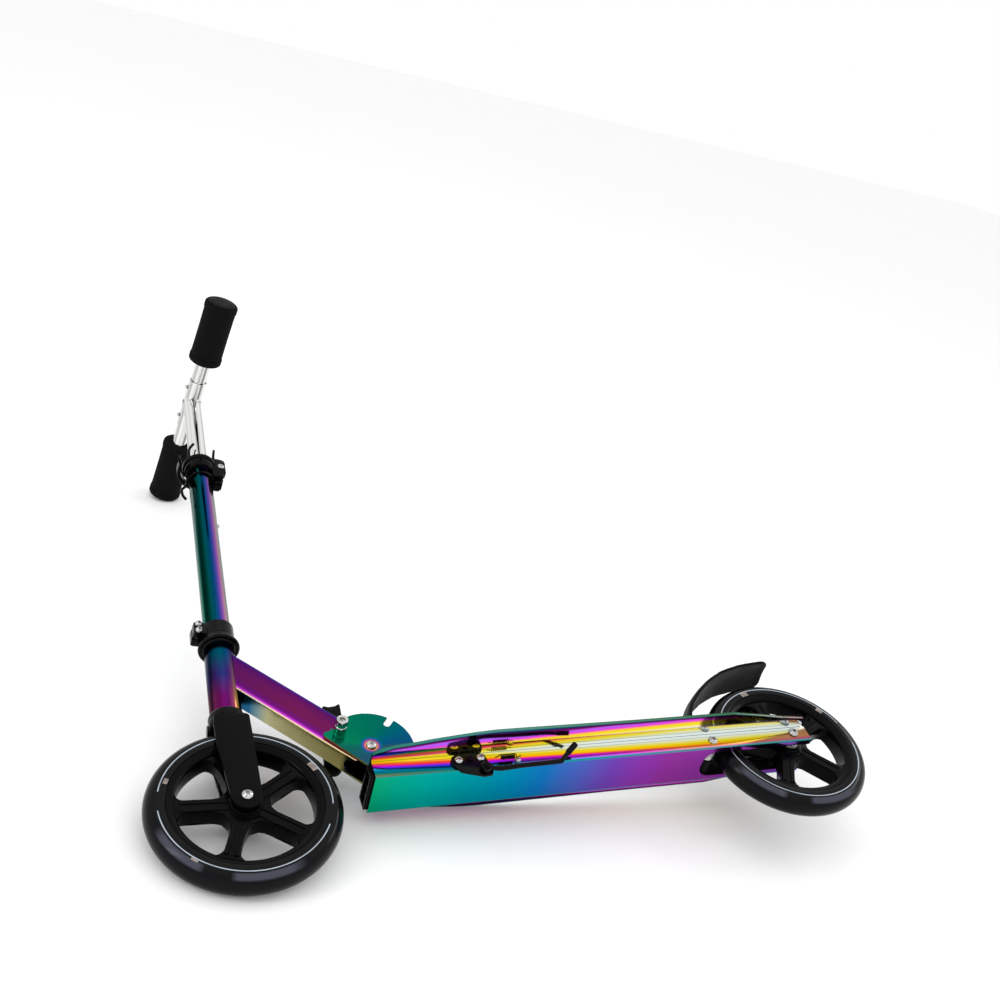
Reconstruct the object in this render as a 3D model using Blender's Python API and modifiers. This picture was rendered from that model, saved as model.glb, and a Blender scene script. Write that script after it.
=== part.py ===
"""Folding kick scooter with two 200 mm wheels, lying on its right side.

Lengths are in metres. Every piece is modelled in the scooter's own directions and hangs on the
empty "scooter": x points forward along the deck, y to the rider's left, z up from the deck.
The rear wheel touches the ground at the origin of those directions. The empty "scooter" then
lays the whole object on its right side, where it rests on the right handlebar's end, the front
tyre and the foot plate's right edge.
"""

import math

import bmesh
import bpy
from mathutils import Matrix, Vector

# ---- how the scooter lies -------------------------------------------------------------------
LIE_TILT = math.radians(10.09)      # the handlebar sinks towards the ground by this much
LIE_NOSE = math.radians(4.77)       # and the deck's nose by this much
LIE_PLACE = (0.3298, -0.4418, 0.07196)      # the rear wheel's footprint, from below the middle of the box

# ---- wheels ---------------------------------------------------------------------------------
WHEEL_RADIUS = 0.100
TYRE_HALF_WIDTH = 0.015
CORE_RADIUS = 0.0790                # where the plastic core meets the tyre
CORE_HALF_WIDTH = 0.0115
WINDOW_OUTER = 0.0695
WINDOW_INNER = 0.0255
SPOKES = 5
SPOKE_HALF_WIDTHS = ((0.0330, 0.0085), (0.0560, 0.0075), (0.0640, 0.0095), (0.0680, 0.0140))
HUB_RADIUS = 0.0170
BEARING_RADIUS = 0.0110
BEARING_WIDTH = 0.0070
HUB_HALF_WIDTH = 0.0125
AXLE_RADIUS = 0.0039

# ---- deck -----------------------------------------------------------------------------------
CHANNEL_HALF_WIDTH = 0.0277
CHANNEL_WALL = 0.0025
CHANNEL_BOTTOM = 0.0875
CHANNEL_TOP = 0.1090
CHANNEL_FRONT = 0.5265
CHANNEL_REAR = -0.0200
PLATE_THICKNESS = 0.0040
PLATE_REAR = -0.0160
TAPE_THICKNESS = 0.0010
TAPE_MARGIN = 0.0045
SLOT_FRONT = 0.1250                 # the rear wheel's slot runs from here to the rear end
SLOT_HALF_WIDTH = 0.0200
SLOT_CORNER = 0.0120
GAP = 0.0003                        # between pieces that touch

# ---- rear brake -----------------------------------------------------------------------------
BRAKE_X = 0.1137
BRAKE_Z = 0.0987
FENDER_THICKNESS = 0.0045

# ---- folding joint --------------------------------------------------------------------------
PIVOT_X = 0.5160
PIVOT_Z = 0.1428
CHEEK_RADIUS = 0.0478
CHEEK_THICKNESS = 0.0028
CHEEK_OUTER = 0.0160                # outer faces of the bracket's cheeks
LOCK_RADIUS = 0.0388
LOCK_ANGLE = math.radians(42.0)     # the locking shaft sits here when the scooter is open
FOLD_ANGLE = math.radians(88.0)     # and in a second notch this much further round when folded
NOTCH_HALF_WIDTH = 0.0040

# ---- neck -----------------------------------------------------------------------------------
NECK_SLOPE = math.radians(47.5)
NECK_HALF_WIDTH = 0.0125
NECK_ABOVE = 0.0135                 # neck's top face above the fold pivot, across the neck
NECK_BELOW = 0.0268                 # and its bottom face below it
NECK_WALL = 0.0022
NECK_TOP_LENGTH = 0.1940            # the neck is cut slanting where it meets the head tube
NECK_BOTTOM_LENGTH = 0.1570

# ---- steering -------------------------------------------------------------------------------
RAKE = math.radians(3.74)
STEER_X = 0.6678                    # foot of the steering axis, level with the front axle
STEER_Z = 0.0851
AXLE_SETBACK = 0.0085               # front axle behind the steering axis
LEG_INNER = 0.0175
LEG_OUTER = 0.0220
LEG_TOP = 0.1140
CROWN_LOW = 0.1030
CROWN_HIGH = 0.1157
HEAD_TUBE_LOW = 0.1270
HEAD_TUBE_HIGH = 0.2330
HEAD_TUBE_RADIUS = 0.0174
COLUMN_LOW = 0.2480
COLUMN_HIGH = 0.6120
COLUMN_RADIUS = 0.0155
COLUMN_BORE = 0.0132
POST_RADIUS = 0.0126
POST_LOW = 0.4300
HEIGHT_DOWN = 0.0900                # how far the post goes down into the column
BAR_HEIGHT = 0.7759                 # handlebar's centre up the steering axis
BAR_TWIST = math.radians(9.1)       # the bar is set a little off square in its clamp
SLEEVE_RADIUS = 0.0125
SLEEVE_BORE = 0.0113
SLEEVE_HALF_LENGTH = 0.0385
HANDLE_RADIUS = 0.0110
GRIP_INNER = 0.0738
GRIP_OUTER = 0.1680
GRIP_RADIUS = 0.0225
HEIGHT_BUTTON_S = 0.4750
BUTTON_Y = 0.0245                   # spring buttons that hold the handles in the sleeve

# ---- kickstand ------------------------------------------------------------------------------
STAND_X = 0.4060
STAND_Y = 0.0341
STAND_Z = 0.0830

# ---- build helpers --------------------------------------------------------------------------
for leftover in list(bpy.data.objects):
    bpy.data.objects.remove(leftover, do_unlink=True)

parts = bpy.data.collections.new("kick_scooter")
cutters = bpy.data.collections.new("cutters")
for collection in (parts, cutters):
    bpy.context.scene.collection.children.link(collection)


def make_material(name, colour, roughness, metallic):
    material = bpy.data.materials.new(name)
    material.use_nodes = True
    shader = material.node_tree.nodes["Principled BSDF"]
    shader.inputs["Base Color"].default_value = (*colour, 1.0)
    shader.inputs["Roughness"].default_value = roughness
    shader.inputs["Metallic"].default_value = metallic
    return material


FINISH = {
    "rainbow_deck": make_material("rainbow_deck", (0.05, 0.45, 0.50), 0.22, 1.0),
    "rainbow_neck": make_material("rainbow_neck", (0.25, 0.02, 0.30), 0.22, 1.0),
    "rainbow_bracket": make_material("rainbow_bracket", (0.01, 0.25, 0.20), 0.22, 1.0),
    "rainbow_column": make_material("rainbow_column", (0.02, 0.15, 0.35), 0.20, 1.0),
    "chrome": make_material("chrome", (0.80, 0.80, 0.82), 0.10, 1.0),
    "black_plastic": make_material("black_plastic", (0.012, 0.012, 0.012), 0.45, 0.0),
    "black_paint": make_material("black_paint", (0.010, 0.010, 0.010), 0.40, 0.2),
    "tyre": make_material("tyre", (0.015, 0.015, 0.017), 0.18, 0.0),
    "foam": make_material("foam", (0.012, 0.012, 0.012), 0.90, 0.0),
    "grip_tape": make_material("grip_tape", (0.015, 0.015, 0.015), 0.95, 0.0),
    "steel": make_material("steel", (0.60, 0.60, 0.62), 0.25, 1.0),
}


def empty(name, parent, location, rotation=(0.0, 0.0, 0.0)):
    """An axis that pieces hang on."""
    holder = bpy.data.objects.new(name, None)
    holder.empty_display_size = 0.03
    parts.objects.link(holder)
    holder.parent = parent
    holder.location = location
    holder.rotation_euler = rotation
    return holder


def add(name, mesh, parent, finish=None, location=(0.0, 0.0, 0.0), rotation=(0.0, 0.0, 0.0)):
    """A named piece, or a cutter when it has no finish."""
    piece = bpy.data.objects.new(name, mesh)
    piece.parent = parent
    piece.location = location
    piece.rotation_euler = rotation
    if finish is None:
        cutters.objects.link(piece)
        piece.hide_render = True
        piece.display_type = "WIRE"
    else:
        parts.objects.link(piece)
        mesh.materials.append(FINISH[finish])
    return piece


def mesh_of(bm, name, smooth_angle=None):
    mesh = bpy.data.meshes.new(name)
    bmesh.ops.recalc_face_normals(bm, faces=bm.faces)
    bm.to_mesh(mesh)
    bm.free()
    if smooth_angle is not None:
        mesh.shade_smooth()
        mesh.set_sharp_from_angle(angle=math.radians(smooth_angle))
    return mesh


def block(name, low, high):
    """A box between two corners."""
    bm = bmesh.new()
    bmesh.ops.create_cube(bm, size=1.0)
    low, high = Vector(low), Vector(high)
    size = high - low
    bmesh.ops.scale(bm, vec=size, verts=bm.verts)
    bmesh.ops.translate(bm, vec=(low + high) / 2, verts=bm.verts)
    return mesh_of(bm, name)


def rod(name, radius, low, high, segments=32, top_radius=None):
    """A cylinder or cone along its own z axis, between two heights."""
    bm = bmesh.new()
    bmesh.ops.create_cone(
        bm, cap_ends=True, segments=segments, radius1=radius,
        radius2=radius if top_radius is None else top_radius, depth=high - low)
    bmesh.ops.translate(bm, vec=(0.0, 0.0, (low + high) / 2), verts=bm.verts)
    return mesh_of(bm, name, smooth_angle=40)


def arc(centre, radius, start, end, steps):
    """Points round a centre, from one angle to another, in degrees."""
    points = []
    for step in range(steps + 1):
        angle = math.radians(start + (end - start) * step / steps)
        points.append((centre[0] + radius * math.cos(angle), centre[1] + radius * math.sin(angle)))
    return points


def turned(name, profile, parent, finish, closed, segments=32, **place):
    """A piece turned round its own z axis. The profile runs down the outer side."""
    mesh = bpy.data.meshes.new(name)
    vertices = [(radius, 0.0, height) for radius, height in profile]
    edges = [(i, i + 1) for i in range(len(profile) - 1)]
    if closed:
        edges.append((len(profile) - 1, 0))
    mesh.from_pydata(vertices, edges, [])
    piece = add(name, mesh, parent, finish, **place)
    screw = piece.modifiers.new("turn", "SCREW")
    screw.axis = "Z"
    screw.angle = 2 * math.pi
    screw.steps = segments
    screw.render_steps = segments
    screw.use_merge_vertices = True
    screw.merge_threshold = 0.00001
    screw.use_smooth_shade = True
    return piece


def flat(name, outlines, thickness):
    """A flat outline with holes, given thickness along its own z axis, as a welded mesh."""
    curve = bpy.data.curves.new(name, "CURVE")
    curve.dimensions = "2D"
    curve.fill_mode = "BOTH"
    curve.extrude = thickness / 2
    for points in outlines:
        spline = curve.splines.new("POLY")
        spline.points.add(len(points) - 1)
        for point, (x, y) in zip(spline.points, points):
            point.co = (x, y, 0.0, 1.0)
        spline.use_cyclic_u = True
    return welded(curve, name)


def wire(name, points, radius, sides=2, cyclic=False):
    """A round wire through the points, as a welded mesh."""
    curve = bpy.data.curves.new(name, "CURVE")
    curve.dimensions = "3D"
    curve.bevel_depth = radius
    curve.bevel_resolution = sides
    curve.use_fill_caps = True
    spline = curve.splines.new("POLY")
    spline.points.add(len(points) - 1)
    for point, place in zip(spline.points, points):
        point.co = (*place, 1.0)
    spline.use_cyclic_u = cyclic
    return welded(curve, name)


def welded(curve, name):
    """The mesh of a curve, with its loose caps welded on."""
    holder = bpy.data.objects.new(name + "_curve", curve)
    bpy.context.scene.collection.objects.link(holder)
    graph = bpy.context.evaluated_depsgraph_get()
    mesh = bpy.data.meshes.new_from_object(holder.evaluated_get(graph))
    bpy.data.objects.remove(holder, do_unlink=True)
    bm = bmesh.new()
    bm.from_mesh(mesh)
    bmesh.ops.remove_doubles(bm, verts=bm.verts, dist=0.000001)
    bmesh.ops.recalc_face_normals(bm, faces=bm.faces)
    bm.to_mesh(mesh)
    bm.free()
    mesh.name = name
    mesh.shade_smooth()
    mesh.set_sharp_from_angle(angle=math.radians(40))
    return mesh


def combine(piece, tool, operation):
    """Cuts the tool out of the piece, or joins it on."""
    change = piece.modifiers.new(operation.lower(), "BOOLEAN")
    change.operation = operation
    change.solver = "EXACT"
    change.object = tool


def cut(piece, tool):
    combine(piece, tool, "DIFFERENCE")


def join(piece, tool):
    combine(piece, tool, "UNION")


def bevel(piece, width, segments=2, angle=40):
    """Rounds the edges that are sharper than an angle in degrees."""
    rounding = piece.modifiers.new("bevel", "BEVEL")
    rounding.width = width
    rounding.segments = segments
    rounding.limit_method = "ANGLE"
    rounding.angle_limit = math.radians(angle)


def through_points(points, steps):
    """A smooth open line through the points (Catmull-Rom), with steps to each stretch."""
    line = []
    ends = [points[0]] + list(points) + [points[-1]]
    for i in range(1, len(ends) - 2):
        a, b, c, d = (Vector(p) for p in ends[i - 1:i + 3])
        for step in range(steps):
            t = step / steps
            line.append(0.5 * ((2 * b) + (c - a) * t + (2 * a - 5 * b + 4 * c - d) * t * t
                               + (3 * b - a - 3 * c + d) * t * t * t))
    line.append(Vector(points[-1]))
    return line


ACROSS = (math.radians(-90.0), 0.0, 0.0)    # turns a piece's own z axis to the rider's left
UPRIGHT = (math.radians(90.0), 0.0, 0.0)    # stands a flat outline up: its y becomes height


# ---- axes -----------------------------------------------------------------------------------
def lying_matrix():
    """Scooter directions to the ground's: left is up, forward is -x, the deck's floor faces -y."""
    on_its_side = Matrix(((-1, 0, 0), (0, 0, 1), (0, 1, 0))).to_4x4()
    tilt = Matrix.Rotation(LIE_TILT, 4, "X")
    nose = Matrix.Rotation(-LIE_NOSE, 4, "Y")
    return Matrix.Translation(LIE_PLACE) @ nose @ tilt @ on_its_side


scooter = empty("scooter", None, (0.0, 0.0, 0.0))
scooter.matrix_world = lying_matrix()
rear_axle = empty("rear_axle_axis", scooter, (0.0, 0.0, WHEEL_RADIUS))
brake_axis = empty("brake_axis", scooter, (BRAKE_X, 0.0, BRAKE_Z))
stand_axis = empty("stand_axis", scooter, (STAND_X, STAND_Y, STAND_Z))
fold_axis = empty("fold_axis", scooter, (PIVOT_X, 0.0, PIVOT_Z))
lock_place = (LOCK_RADIUS * math.cos(LOCK_ANGLE), 0.0, LOCK_RADIUS * math.sin(LOCK_ANGLE))
lock_axis = empty("lock_axis", fold_axis, lock_place)
neck_frame = empty("neck_frame", fold_axis, (0.0, 0.0, 0.0), (0.0, -NECK_SLOPE, 0.0))
steering = empty("steering_axis", scooter, (STEER_X, 0.0, STEER_Z), (0.0, -RAKE, 0.0))
front_axle = empty("front_axle_axis", steering, (-AXLE_SETBACK, 0.0, 0.0))
column_frame = empty("column_frame", steering, (0.0, 0.0, 0.0), (0.0, 0.0, BAR_TWIST))
bar = empty("bar_axis", column_frame, (0.0, 0.0, BAR_HEIGHT))


# ---- wheels ---------------------------------------------------------------------------------
def wheel_window(middle):
    """The opening between two spokes: pointed towards the hub, with round corners at the rim."""
    side = [(WINDOW_INNER, 0.0108)]
    side += [(radius, half) for radius, half in SPOKE_HALF_WIDTHS]
    one_side = []
    for radius, half in side:
        spread = 180.0 / SPOKES - math.degrees(math.asin(half / radius))
        one_side.append((radius, spread))
    polar = [(radius, middle - spread) for radius, spread in one_side]
    polar += [(WINDOW_OUTER, middle - 18.0), (WINDOW_OUTER, middle), (WINDOW_OUTER, middle + 18.0)]
    polar += [(radius, middle + spread) for radius, spread in reversed(one_side)]
    return [arc((0.0, 0.0), radius, angle, angle, 1)[0] for radius, angle in polar]


def wheel(end, axle, spoke_angle):
    """Core, tyre and two bearings of one wheel, on its axle's axis."""
    outlines = [arc((0.0, 0.0), CORE_RADIUS, 0.0, 360.0, 40)[:-1]]
    outlines += [wheel_window(spoke_angle + (index + 0.5) * 360.0 / SPOKES)
                 for index in range(SPOKES)]
    core = add(end + "_wheel_core", flat(end + "_core", outlines, 2 * CORE_HALF_WIDTH), axle,
               "black_plastic", rotation=ACROSS)
    hub = add(end + "_hub_shape", rod("hub", HUB_RADIUS, -HUB_HALF_WIDTH, HUB_HALF_WIDTH, 24),
              axle, rotation=ACROSS)
    bore = add(end + "_hub_bore", rod("bore", 0.0065, -0.03, 0.03, 16), axle, rotation=ACROSS)
    join(core, hub)
    cut(core, bore)
    seat_low = HUB_HALF_WIDTH - BEARING_WIDTH - GAP
    for side, sign in (("left", 1), ("right", -1)):
        seat = rod("seat", BEARING_RADIUS + GAP, min(sign * seat_low, sign * 0.03),
                   max(sign * seat_low, sign * 0.03), 20)
        cut(core, add(end + "_seat_" + side, seat, axle, rotation=ACROSS))
        middle = sign * (HUB_HALF_WIDTH - BEARING_WIDTH / 2)
        low, high = middle - BEARING_WIDTH / 2, middle + BEARING_WIDTH / 2
        ring = [(BEARING_RADIUS, high), (BEARING_RADIUS, low),
                (AXLE_RADIUS + GAP, low), (AXLE_RADIUS + GAP, high)]
        turned(end + "_bearing_" + side, ring, axle, "steel", True, 20, rotation=ACROSS)
    rim = CORE_RADIUS + GAP
    edge = TYRE_HALF_WIDTH
    tyre = [(rim, edge), (0.0890, edge), (0.0965, 0.0095), (WHEEL_RADIUS, 0.0035),
            (WHEEL_RADIUS, -0.0035), (0.0965, -0.0095), (0.0890, -edge), (rim, -edge)]
    turned(end + "_tyre", tyre, axle, "tyre", True, 40, rotation=ACROSS)


def domed_bolt(name, parent, finish, shank, head, head_low, head_high, tail, **place):
    """A bolt along its own z axis, with a domed head at the top."""
    dome = [(0.0, head_high)]
    rise = head_high - head_low - 0.0008
    for angle in (math.radians(35.0), math.radians(65.0), math.radians(90.0)):
        dome.append((head * math.sin(angle), head_low + 0.0008 + rise * math.cos(angle)))
    profile = dome + [(head, head_low), (shank, head_low), (shank, tail), (0.0, tail)]
    return turned(name, profile, parent, finish, False, 12, **place)


def rivet(name, parent, finish, shank, head, reach, **place):
    """A pin along its own z axis, with the same domed head at both ends."""
    dome = []
    for angle in (0.0, math.radians(45.0), math.radians(90.0)):
        dome.append((head * math.sin(angle), reach + 0.0008 + 0.0026 * math.cos(angle)))
    dome += [(head, reach), (shank, reach)]
    profile = dome + [(radius, -height) for radius, height in reversed(dome)]
    return turned(name, profile, parent, finish, False, 12, **place)


def ring_piece(name, parent, finish, outer, inner, low, high, segments=16, **place):
    """A washer, spacer or plain collar."""
    profile = [(outer, high), (outer, low), (inner, low), (inner, high)]
    return turned(name, profile, parent, finish, True, segments, **place)


def axle_set(end, axle, wall):
    """The bolt, nut and two spacers that hold a wheel between two walls."""
    nut_depth = 0.0050
    domed_bolt(end + "_axle_bolt", axle, "chrome", AXLE_RADIUS, 0.0062, wall + GAP,
               wall + 0.0045, -wall - nut_depth - 0.0008, rotation=ACROSS)
    nut = add(end + "_axle_nut", rod("nut", 0.0070, -wall - nut_depth, -wall - GAP, 6), axle,
              "chrome", rotation=ACROSS)
    cut(nut, add(end + "_nut_bore", rod("nut_bore", AXLE_RADIUS + GAP, -0.05, 0.0, 16), axle,
                 rotation=ACROSS))


wheel("rear", rear_axle, -11.0)
wheel("front", front_axle, 0.7)
axle_set("rear", rear_axle, CHANNEL_HALF_WIDTH)
axle_set("front", front_axle, LEG_OUTER)
for end, axle, wall in (("rear", rear_axle, CHANNEL_HALF_WIDTH - CHANNEL_WALL),
                        ("front", front_axle, LEG_INNER)):
    for side, sign in (("left", 1), ("right", -1)):
        low, high = sorted((sign * (HUB_HALF_WIDTH + GAP), sign * (wall - GAP)))
        ring_piece(end + "_spacer_" + side, axle, "steel", 0.0065, AXLE_RADIUS + GAP, low, high,
                   16, rotation=ACROSS)


# ---- deck -----------------------------------------------------------------------------------
def slot_cutter(name, low, high):
    """The rear wheel's slot, rounded at its front end."""
    reach = SLOT_FRONT - SLOT_CORNER
    side = SLOT_HALF_WIDTH - SLOT_CORNER
    outline = [(-0.06, -SLOT_HALF_WIDTH)]
    outline += arc((reach, -side), SLOT_CORNER, -90.0, 0.0, 5)
    outline += arc((reach, side), SLOT_CORNER, 0.0, 90.0, 5)
    outline.append((-0.06, SLOT_HALF_WIDTH))
    return add(name, flat(name, [outline], high - low), scooter,
               location=(0.0, 0.0, (low + high) / 2))


def half_plan(margin):
    """One side of the foot plate's plan, from nose to tail, moved in by a margin."""
    sides = [(0.5272, 0.0290), (0.5265, 0.0370), (0.5235, 0.0405), (0.5175, 0.0433),
             (0.5040, 0.0466), (0.4820, 0.0490), (0.4600, 0.0523), (0.4330, 0.0555),
             (0.4130, 0.0577), (0.3900, 0.0592), (0.3570, 0.0592), (0.2160, 0.0580),
             (0.0900, 0.0583), (0.0500, 0.0518), (0.0170, 0.0456), (PLATE_REAR, 0.0415)]
    moved = []
    for x, y in sides:
        low, high = PLATE_REAR + margin, sides[0][0] - margin
        moved.append((min(max(x, low), high), y - margin))
    return moved


def foot_outline(margin):
    """The whole plan: left side from nose to tail, then the right side back again."""
    left = half_plan(margin)
    return left + [(x, -y) for x, y in reversed(left)]


def deck():
    top = CHANNEL_TOP - GAP
    channel = add("deck_channel", block("channel", (CHANNEL_REAR, -CHANNEL_HALF_WIDTH, CHANNEL_BOTTOM),
                                        (CHANNEL_FRONT, CHANNEL_HALF_WIDTH, top)),
                  scooter, "rainbow_deck")
    bevel(channel, 0.0012, 2)
    inner = CHANNEL_HALF_WIDTH - CHANNEL_WALL
    hollow = add("channel_hollow", block("hollow", (-0.1, -inner, CHANNEL_BOTTOM + CHANNEL_WALL),
                                         (0.6, inner, 0.15)), scooter)
    cut(channel, hollow)
    cut(channel, slot_cutter("channel_slot", CHANNEL_BOTTOM - 0.02, CHANNEL_BOTTOM + 0.02))
    for name, axis, radius in (("rear_axle_hole", rear_axle, AXLE_RADIUS + GAP),
                               ("brake_bolt_hole", brake_axis, 0.0030 + GAP)):
        cut(channel, add(name, rod(name, radius, -0.05, 0.05, 20), axis, rotation=ACROSS))
    for x, z in ((0.4323, 0.0980), (0.4071, 0.0990), (0.3640, 0.0945)):
        hole = rod("rivet_hole", 0.0025 + GAP, 0.02, 0.04, 16)
        cut(channel, add("side_hole_%03d" % round(x * 1000), hole, scooter,
                         location=(x, 0.0, z), rotation=ACROSS))

    low = CHANNEL_TOP
    high = CHANNEL_TOP + PLATE_THICKNESS
    plate = add("foot_plate", flat("foot_plate", [foot_outline(0.0)], PLATE_THICKNESS), scooter,
                "rainbow_deck", location=(0.0, 0.0, (low + high) / 2))
    slot = slot_cutter("plate_slot", low - 0.02, high + 0.02)
    cut(plate, slot)

    tape_low = high + GAP
    tape = add("grip_tape", flat("grip_tape", [foot_outline(TAPE_MARGIN)], TAPE_THICKNESS), scooter,
               "grip_tape", location=(0.0, 0.0, tape_low + TAPE_THICKNESS / 2))
    cut(tape, slot)
    bracket_room = block("bracket_room", (0.4640, -0.0190, 0.10), (0.6, 0.0190, 0.13))
    cut(tape, add("tape_notch", bracket_room, scooter))

    cap_side = inner - GAP
    cap = add("deck_front_cap", block("cap", (0.5000, -cap_side, CHANNEL_BOTTOM + CHANNEL_WALL + GAP),
                                      (0.5310, cap_side, top - GAP)), scooter, "black_plastic")
    recess = block("cap_recess", (0.5060, -cap_side + 0.003, 0.0955), (0.56, cap_side - 0.003, 0.1045))
    cut(cap, add("cap_recess", recess, scooter))


deck()


# ---- rear brake -----------------------------------------------------------------------------
def fender():
    """A curved blade over the wheel on a hub round the brake bolt, held between the deck's walls."""
    spine = [(0.0015, 0.0060), (0.0058, 0.0260), (0.0030, 0.0500), (-0.0080, 0.0715),
             (-0.0250, 0.0890), (-0.0450, 0.1045), (-0.0710, 0.1185), (-0.1010, 0.1270),
             (-0.1330, 0.1315), (-0.1530, 0.1325)]
    widths = [0.0170, 0.0175, 0.0180, 0.0185, 0.0195, 0.0210, 0.0228, 0.0240, 0.0240, 0.0180]
    line = through_points([(x, 0.0, z) for x, z in spine], 2)
    steps_to_each = 2
    across = 4
    bm = bmesh.new()
    rows = []
    for index, place in enumerate(line):
        before = line[max(index - 1, 0)]
        after = line[min(index + 1, len(line) - 1)]
        along = (after - before).normalized()
        inward = Vector((along.z, 0.0, -along.x)) * -1
        share = index / steps_to_each
        low = min(int(share), len(widths) - 2)
        width = widths[low] + (widths[low + 1] - widths[low]) * (share - low)
        sag = 0.0035 * min(1.0, index / 6)
        row = []
        for step in range(across + 1):
            t = 2.0 * step / across - 1.0
            point = place + Vector((0.0, width * t, 0.0)) + inward * sag * t * t
            row.append(bm.verts.new(point))
        rows.append(row)
    for first, second in zip(rows, rows[1:]):
        for step in range(across):
            bm.faces.new((first[step], first[step + 1], second[step + 1], second[step]))
    blade = add("fender_brake", mesh_of(bm, "fender", smooth_angle=50), brake_axis, "black_plastic")
    thick = blade.modifiers.new("thickness", "SOLIDIFY")
    thick.thickness = FENDER_THICKNESS
    thick.offset = 0.0
    hub = add("fender_hub", rod("fender_hub", 0.0084, -0.0190, 0.0190, 20), brake_axis,
              rotation=ACROSS)
    bore = rod("fender_bore", 0.0030 + GAP, -0.03, 0.03, 16)
    cut(hub, add("fender_bore", bore, brake_axis, rotation=ACROSS))
    join(blade, hub)
    room = block("spring_room", (-0.02, 0.0006, -0.02), (0.02, 0.0154, 0.0121))
    cut(blade, add("spring_room", room, brake_axis))


def helix(radius, low, high, turns, points_a_turn, start=0.0):
    points = []
    count = int(turns * points_a_turn)
    for step in range(count + 1):
        angle = start + 2 * math.pi * turns * step / count
        height = low + (high - low) * step / count
        points.append(Vector((radius * math.cos(angle), radius * math.sin(angle), height)))
    return points


def brake_fittings():
    wall = CHANNEL_HALF_WIDTH
    rivet("brake_pivot", brake_axis, "chrome", 0.0030, 0.0058, wall + GAP, rotation=ACROSS)
    coil = helix(0.0075, 0.0030, 0.0130, 3.5, 8)
    add("brake_spring", wire("brake_spring", coil, 0.0009, 1), brake_axis, "chrome",
        rotation=ACROSS)


fender()
brake_fittings()


# ---- kickstand ------------------------------------------------------------------------------
def kickstand():
    """A leg folded back along the deck's lower left edge, on a bracket bolted to the wall."""
    wall = CHANNEL_HALF_WIDTH + GAP
    face = wall + 0.0030
    outline = [(-0.0150, -0.0010), (-0.0080, -0.0080), (0.0040, -0.0085), (0.0290, -0.0015),
               (0.0345, 0.0070), (0.0365, 0.0150), (0.0340, 0.0215), (0.0290, 0.0245),
               (0.0000, 0.0245), (-0.0060, 0.0215), (-0.0160, 0.0180)]
    plate = add("kickstand_bracket", flat("kickstand_bracket", [outline], face - wall), scooter,
                "black_paint", location=(STAND_X, (wall + face) / 2, STAND_Z), rotation=UPRIGHT)
    for x, z in ((0.4323, 0.0980), (0.4071, 0.0990)):
        name = "stand_hole_%03d" % round(x * 1000)
        hole = rod(name, 0.0025 + GAP, 0.02, 0.05, 16)
        cut(plate, add(name, hole, scooter, location=(x, 0.0, z), rotation=ACROSS))
    pin_hole = rod("stand_pin_hole", 0.0025 + GAP, -0.0200, 0.0200, 16)
    cut(plate, add("stand_pin_hole", pin_hole, stand_axis, rotation=ACROSS))

    for name, x, z in (("kickstand_bolt_front", 0.4323, 0.0980),
                       ("kickstand_bolt_rear", 0.4071, 0.0990)):
        domed_bolt(name, scooter, "chrome", 0.0025, 0.0047, face + GAP, face + 0.0034,
                   CHANNEL_HALF_WIDTH - 0.0060, location=(x, 0.0, z), rotation=ACROSS)
    domed_bolt("kickstand_stop", scooter, "chrome", 0.0025, 0.0036, wall, wall + 0.0026,
               CHANNEL_HALF_WIDTH - 0.0050, location=(0.3640, 0.0, 0.0945), rotation=ACROSS)
    eye_half = 0.0027
    domed_bolt("kickstand_pin", stand_axis, "black_paint", 0.0025, 0.0045, eye_half + GAP,
               eye_half + 0.0022, -0.0054, rotation=ACROSS)

    leg = add("kickstand_leg", rod("stand_eye", 0.0062, -eye_half, eye_half, 20), stand_axis,
              "black_paint", rotation=ACROSS)
    leg_points = [(-0.0035, 0.0, -0.0008), (-0.0160, 0.0, -0.0035), (-0.0390, 0.0, -0.0020),
                  (-0.0600, 0.0, -0.0015), (-0.0860, 0.0, -0.0008), (-0.0900, 0.0008, 0.0008),
                  (-0.1050, 0.0060, 0.0125), (-0.1090, 0.0075, 0.0150)]
    join(leg, add("stand_leg_wire", wire("stand_leg", leg_points, 0.0027, 2), stand_axis))
    cut(leg, add("stand_eye_bore", rod("stand_eye_bore", 0.0025 + GAP, -0.02, 0.02, 16),
                 stand_axis, rotation=ACROSS))
    coil = [Vector((-place.z, place.y, place.x)) for place in helix(0.0026, 0.0, 0.0180, 4.5, 6)]
    hooked = [Vector((0.0060, 0.0, 0.0))] + coil + [Vector((-0.0240, 0.0, 0.0))]
    add("kickstand_spring", wire("stand_spring", hooked, 0.0007, 2), scooter, "black_paint",
        location=(0.3860, STAND_Y + 0.0002, 0.0950))


kickstand()


# ---- folding bracket ------------------------------------------------------------------------
def cheek_outline():
    """Side view of a bracket cheek about the fold pivot: a rounded plate with a notch for folding."""
    floor = CHANNEL_TOP + PLATE_THICKNESS + 2 * GAP - PIVOT_Z
    corner = (0.0485, 0.0190)
    outline = [(0.0075, floor), corner, (0.0475, 0.0235)]
    first = math.degrees(math.atan2(0.0235, 0.0475)) + 6.0
    outline += arc((0.0, 0.0), CHEEK_RADIUS, first, 184.0, 30)
    outline.append((-CHEEK_RADIUS, floor))
    return outline


def notch_cutter(name, angle):
    """A round-bottomed notch that runs out through the cheek's rim."""
    outline = arc((LOCK_RADIUS, 0.0), NOTCH_HALF_WIDTH, 90.0, 270.0, 8)
    outline += [(CHEEK_RADIUS + 0.01, -NOTCH_HALF_WIDTH), (CHEEK_RADIUS + 0.01, NOTCH_HALF_WIDTH)]
    turn = Matrix.Rotation(angle, 2)
    outline = [tuple(turn @ Vector(point)) for point in outline]
    return add(name, flat(name, [outline], 0.06), fold_axis, rotation=UPRIGHT)


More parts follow.
